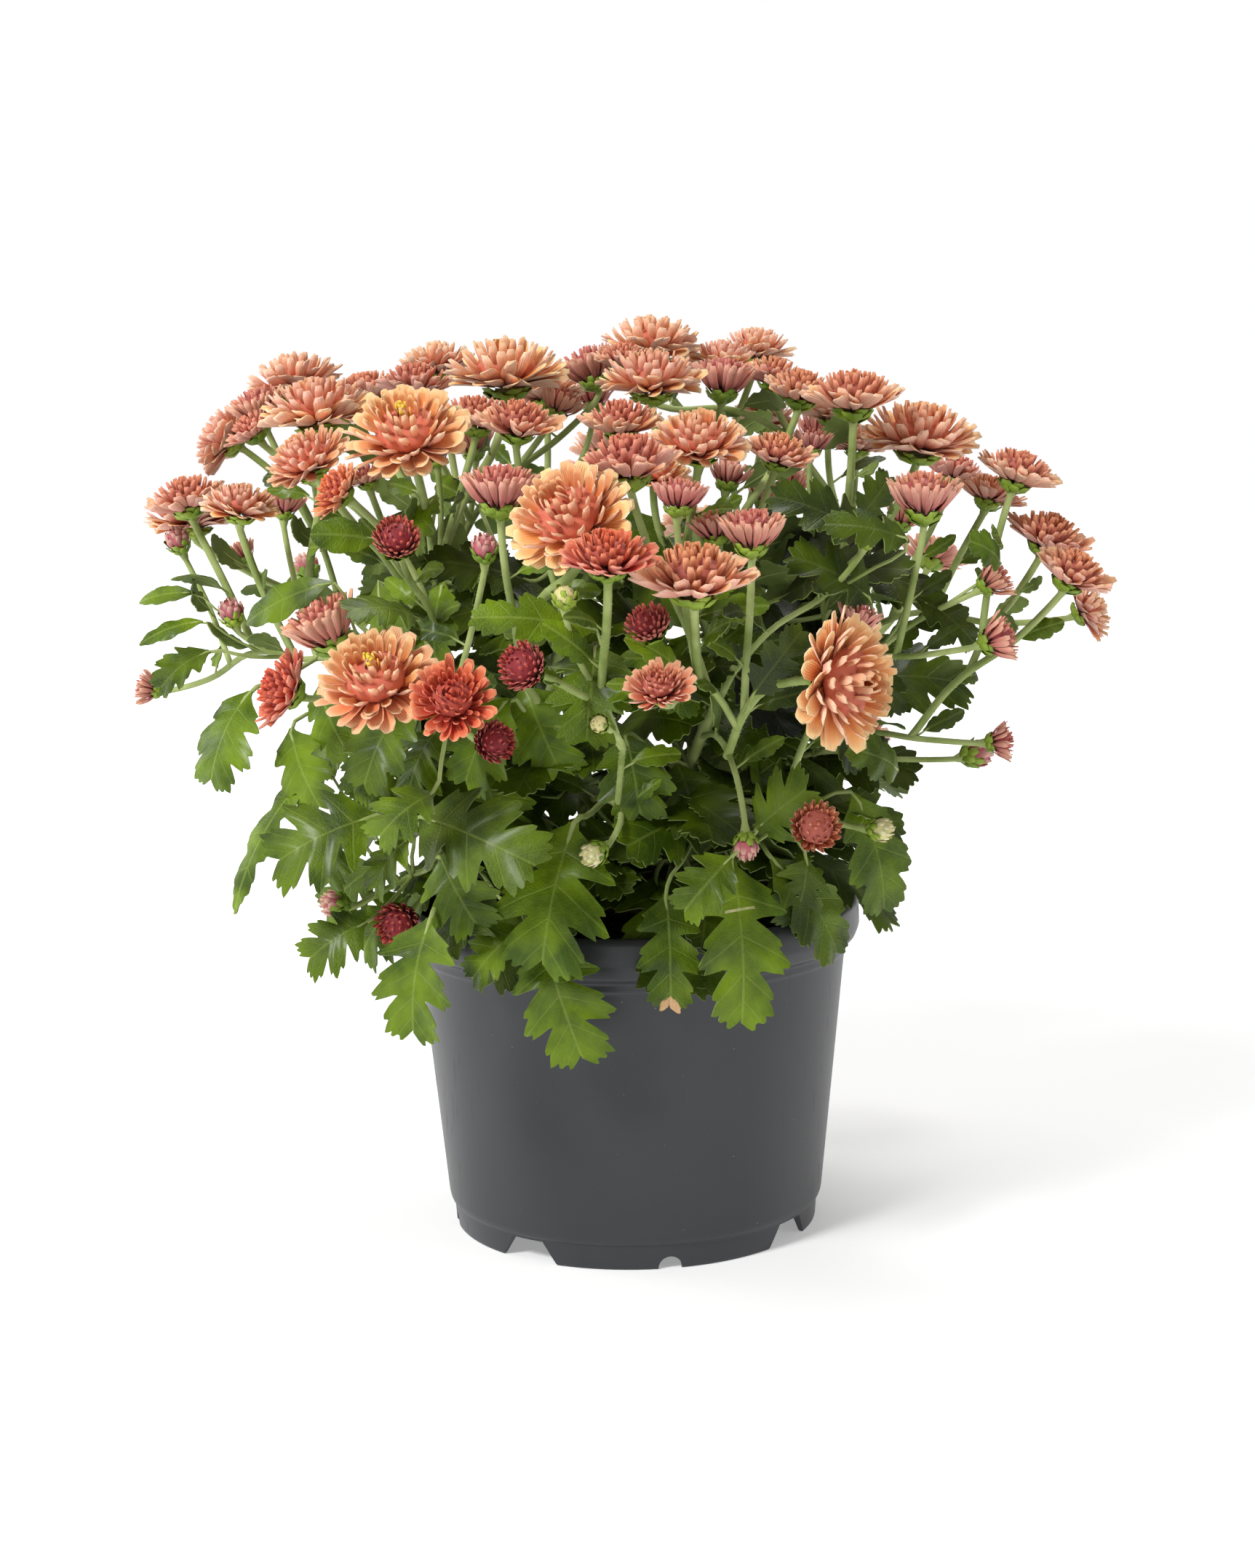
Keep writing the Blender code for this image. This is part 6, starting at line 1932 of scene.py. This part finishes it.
# %% [markdown]
# ## Floor, light and camera
#
# The studio is a pale floor under a white sky. A broad soft key light stands at the front left
# above the plant, and weaker ones light it from the left, from above and from the right. The
# camera stands one metre in front of the pot, a little above the middle of the plant, and looks
# down on it by eight degrees.

# %% The floor
FLOOR_RADIUS = 9.0


def studio_floor():
    """A matt white sheet that glows, faint near the pot and full further out, so it meets the white sky
    unseen.
    """
    bm = bmesh.new()
    bmesh.ops.create_circle(bm, cap_ends=True, segments=96, radius=FLOOR_RADIUS)
    floor = to_object(bm, "studio_sheet")
    paper, tree, shader = new_material("paper_matt_white_glowing")
    place = add(tree, "ShaderNodeTexCoord").outputs["Object"]
    away = add(tree, VECTOR, place, operation="LENGTH").outputs["Value"]
    # The sheet glows though it is no lamp: faintly near the pot, fully from 1.8 m out.
    glow = add(tree, SPAN, {
        "Value": away, "From Min": 0.4, "From Max": 1.8, "To Min": 0.3, "To Max": 1.0})
    plug(tree, shader, {
        "Base Color": linear("#F8F8F8"), "Roughness": 0.95, "Emission Color": linear("#FFFFFF"),
        "Emission Strength": glow,
    })
    floor.data.materials.append(paper)


studio_floor()
print("Floor:", 2 * FLOOR_RADIUS, "m wide")

# %% [markdown]
# The lamps are round and large, so their shadows are soft. The sky lights the plant less than it
# shows, so that the background stays white without washing the colours out.

# %% Sky and lamps
SKY_LIGHT = 0.22


def white_sky():
    """White to the eye, and somewhat weaker as a light."""
    world = bpy.data.worlds.new("white_sky")
    bpy.context.scene.world = world
    world.use_nodes = True
    tree = world.node_tree
    sky = tree.nodes["Background"]
    seen = add(tree, "ShaderNodeLightPath").outputs["Is Camera Ray"]
    strength = add(tree, MIX, seen, SKY_LIGHT, 1.0)
    plug(tree, sky, {"Color": linear("#FFFFFF"), "Strength": strength})


def soft_light(name, place, target, size, power):
    """A round lamp at a place, turned to its target."""
    data = bpy.data.lights.new(name, "AREA")
    data.shape = "DISK"
    data.size = size
    data.energy = power
    lamp = bpy.data.objects.new(name, data)
    bpy.context.scene.collection.objects.link(lamp)
    lamp.location = place
    lamp.rotation_mode = "QUATERNION"
    lamp.rotation_quaternion = (Vector(target) - Vector(place)).to_track_quat("-Z", "Y")


# Each lamp's name, place, target, size in metres and power in watts.
LIGHTS = (
    ("key", (-0.9, -1.1, 1.3), (0, 0, 0.25), 0.45, 25),
    ("edge", (-1.2, 0.35, 0.5), (0, 0, 0.15), 0.6, 3.9),
    ("top", (0.15, 0.45, 1.5), (0, 0, 0.3), 0.6, 10.0),
    ("fill", (1.3, -0.7, 0.7), (0, 0, 0.2), 0.9, 2.5),
)
white_sky()
for light in LIGHTS:
    soft_light(*light)
bpy.context.scene.view_settings.view_transform = "Standard"
print("Lamps:", [light[0] for light in LIGHTS])

# %% [markdown]
# The camera's pitch and roll are those of the eye that the sights were taken with. Its focal
# length is known in pixels. The picture's height falls on a sensor of 36 mm, which gives it in
# millimetres.

# %% Camera
IMAGE_HEIGHT = 2156
SENSOR = 36
ahead = Vector((0, math.cos(EYE_PITCH), -math.sin(EYE_PITCH)))
above = Vector((0, math.sin(EYE_PITCH), math.cos(EYE_PITCH)))
level = Vector((1, 0, 0))
right = level * math.cos(EYE_ROLL) + above * math.sin(EYE_ROLL)
over = above * math.cos(EYE_ROLL) - level * math.sin(EYE_ROLL)
lens = bpy.data.cameras.new("front_view")
lens.sensor_width = SENSOR
lens.lens = EYE_FOCAL * SENSOR / IMAGE_HEIGHT
camera = bpy.data.objects.new("front_view", lens)
bpy.context.scene.collection.objects.link(camera)
turn = Matrix((right, over, -ahead)).transposed().to_4x4()
camera.matrix_world = Matrix.Translation(EYE) @ turn
bpy.context.scene.camera = camera
print("Lens:", round(lens.lens, 2), "mm")

# %% [markdown]
# ## The totals at the end
#
# The number of finished pieces and of their triangles is printed.

# %% Totals
print("Pieces:", len(made), "triangles:", sum(count for name, count in made))
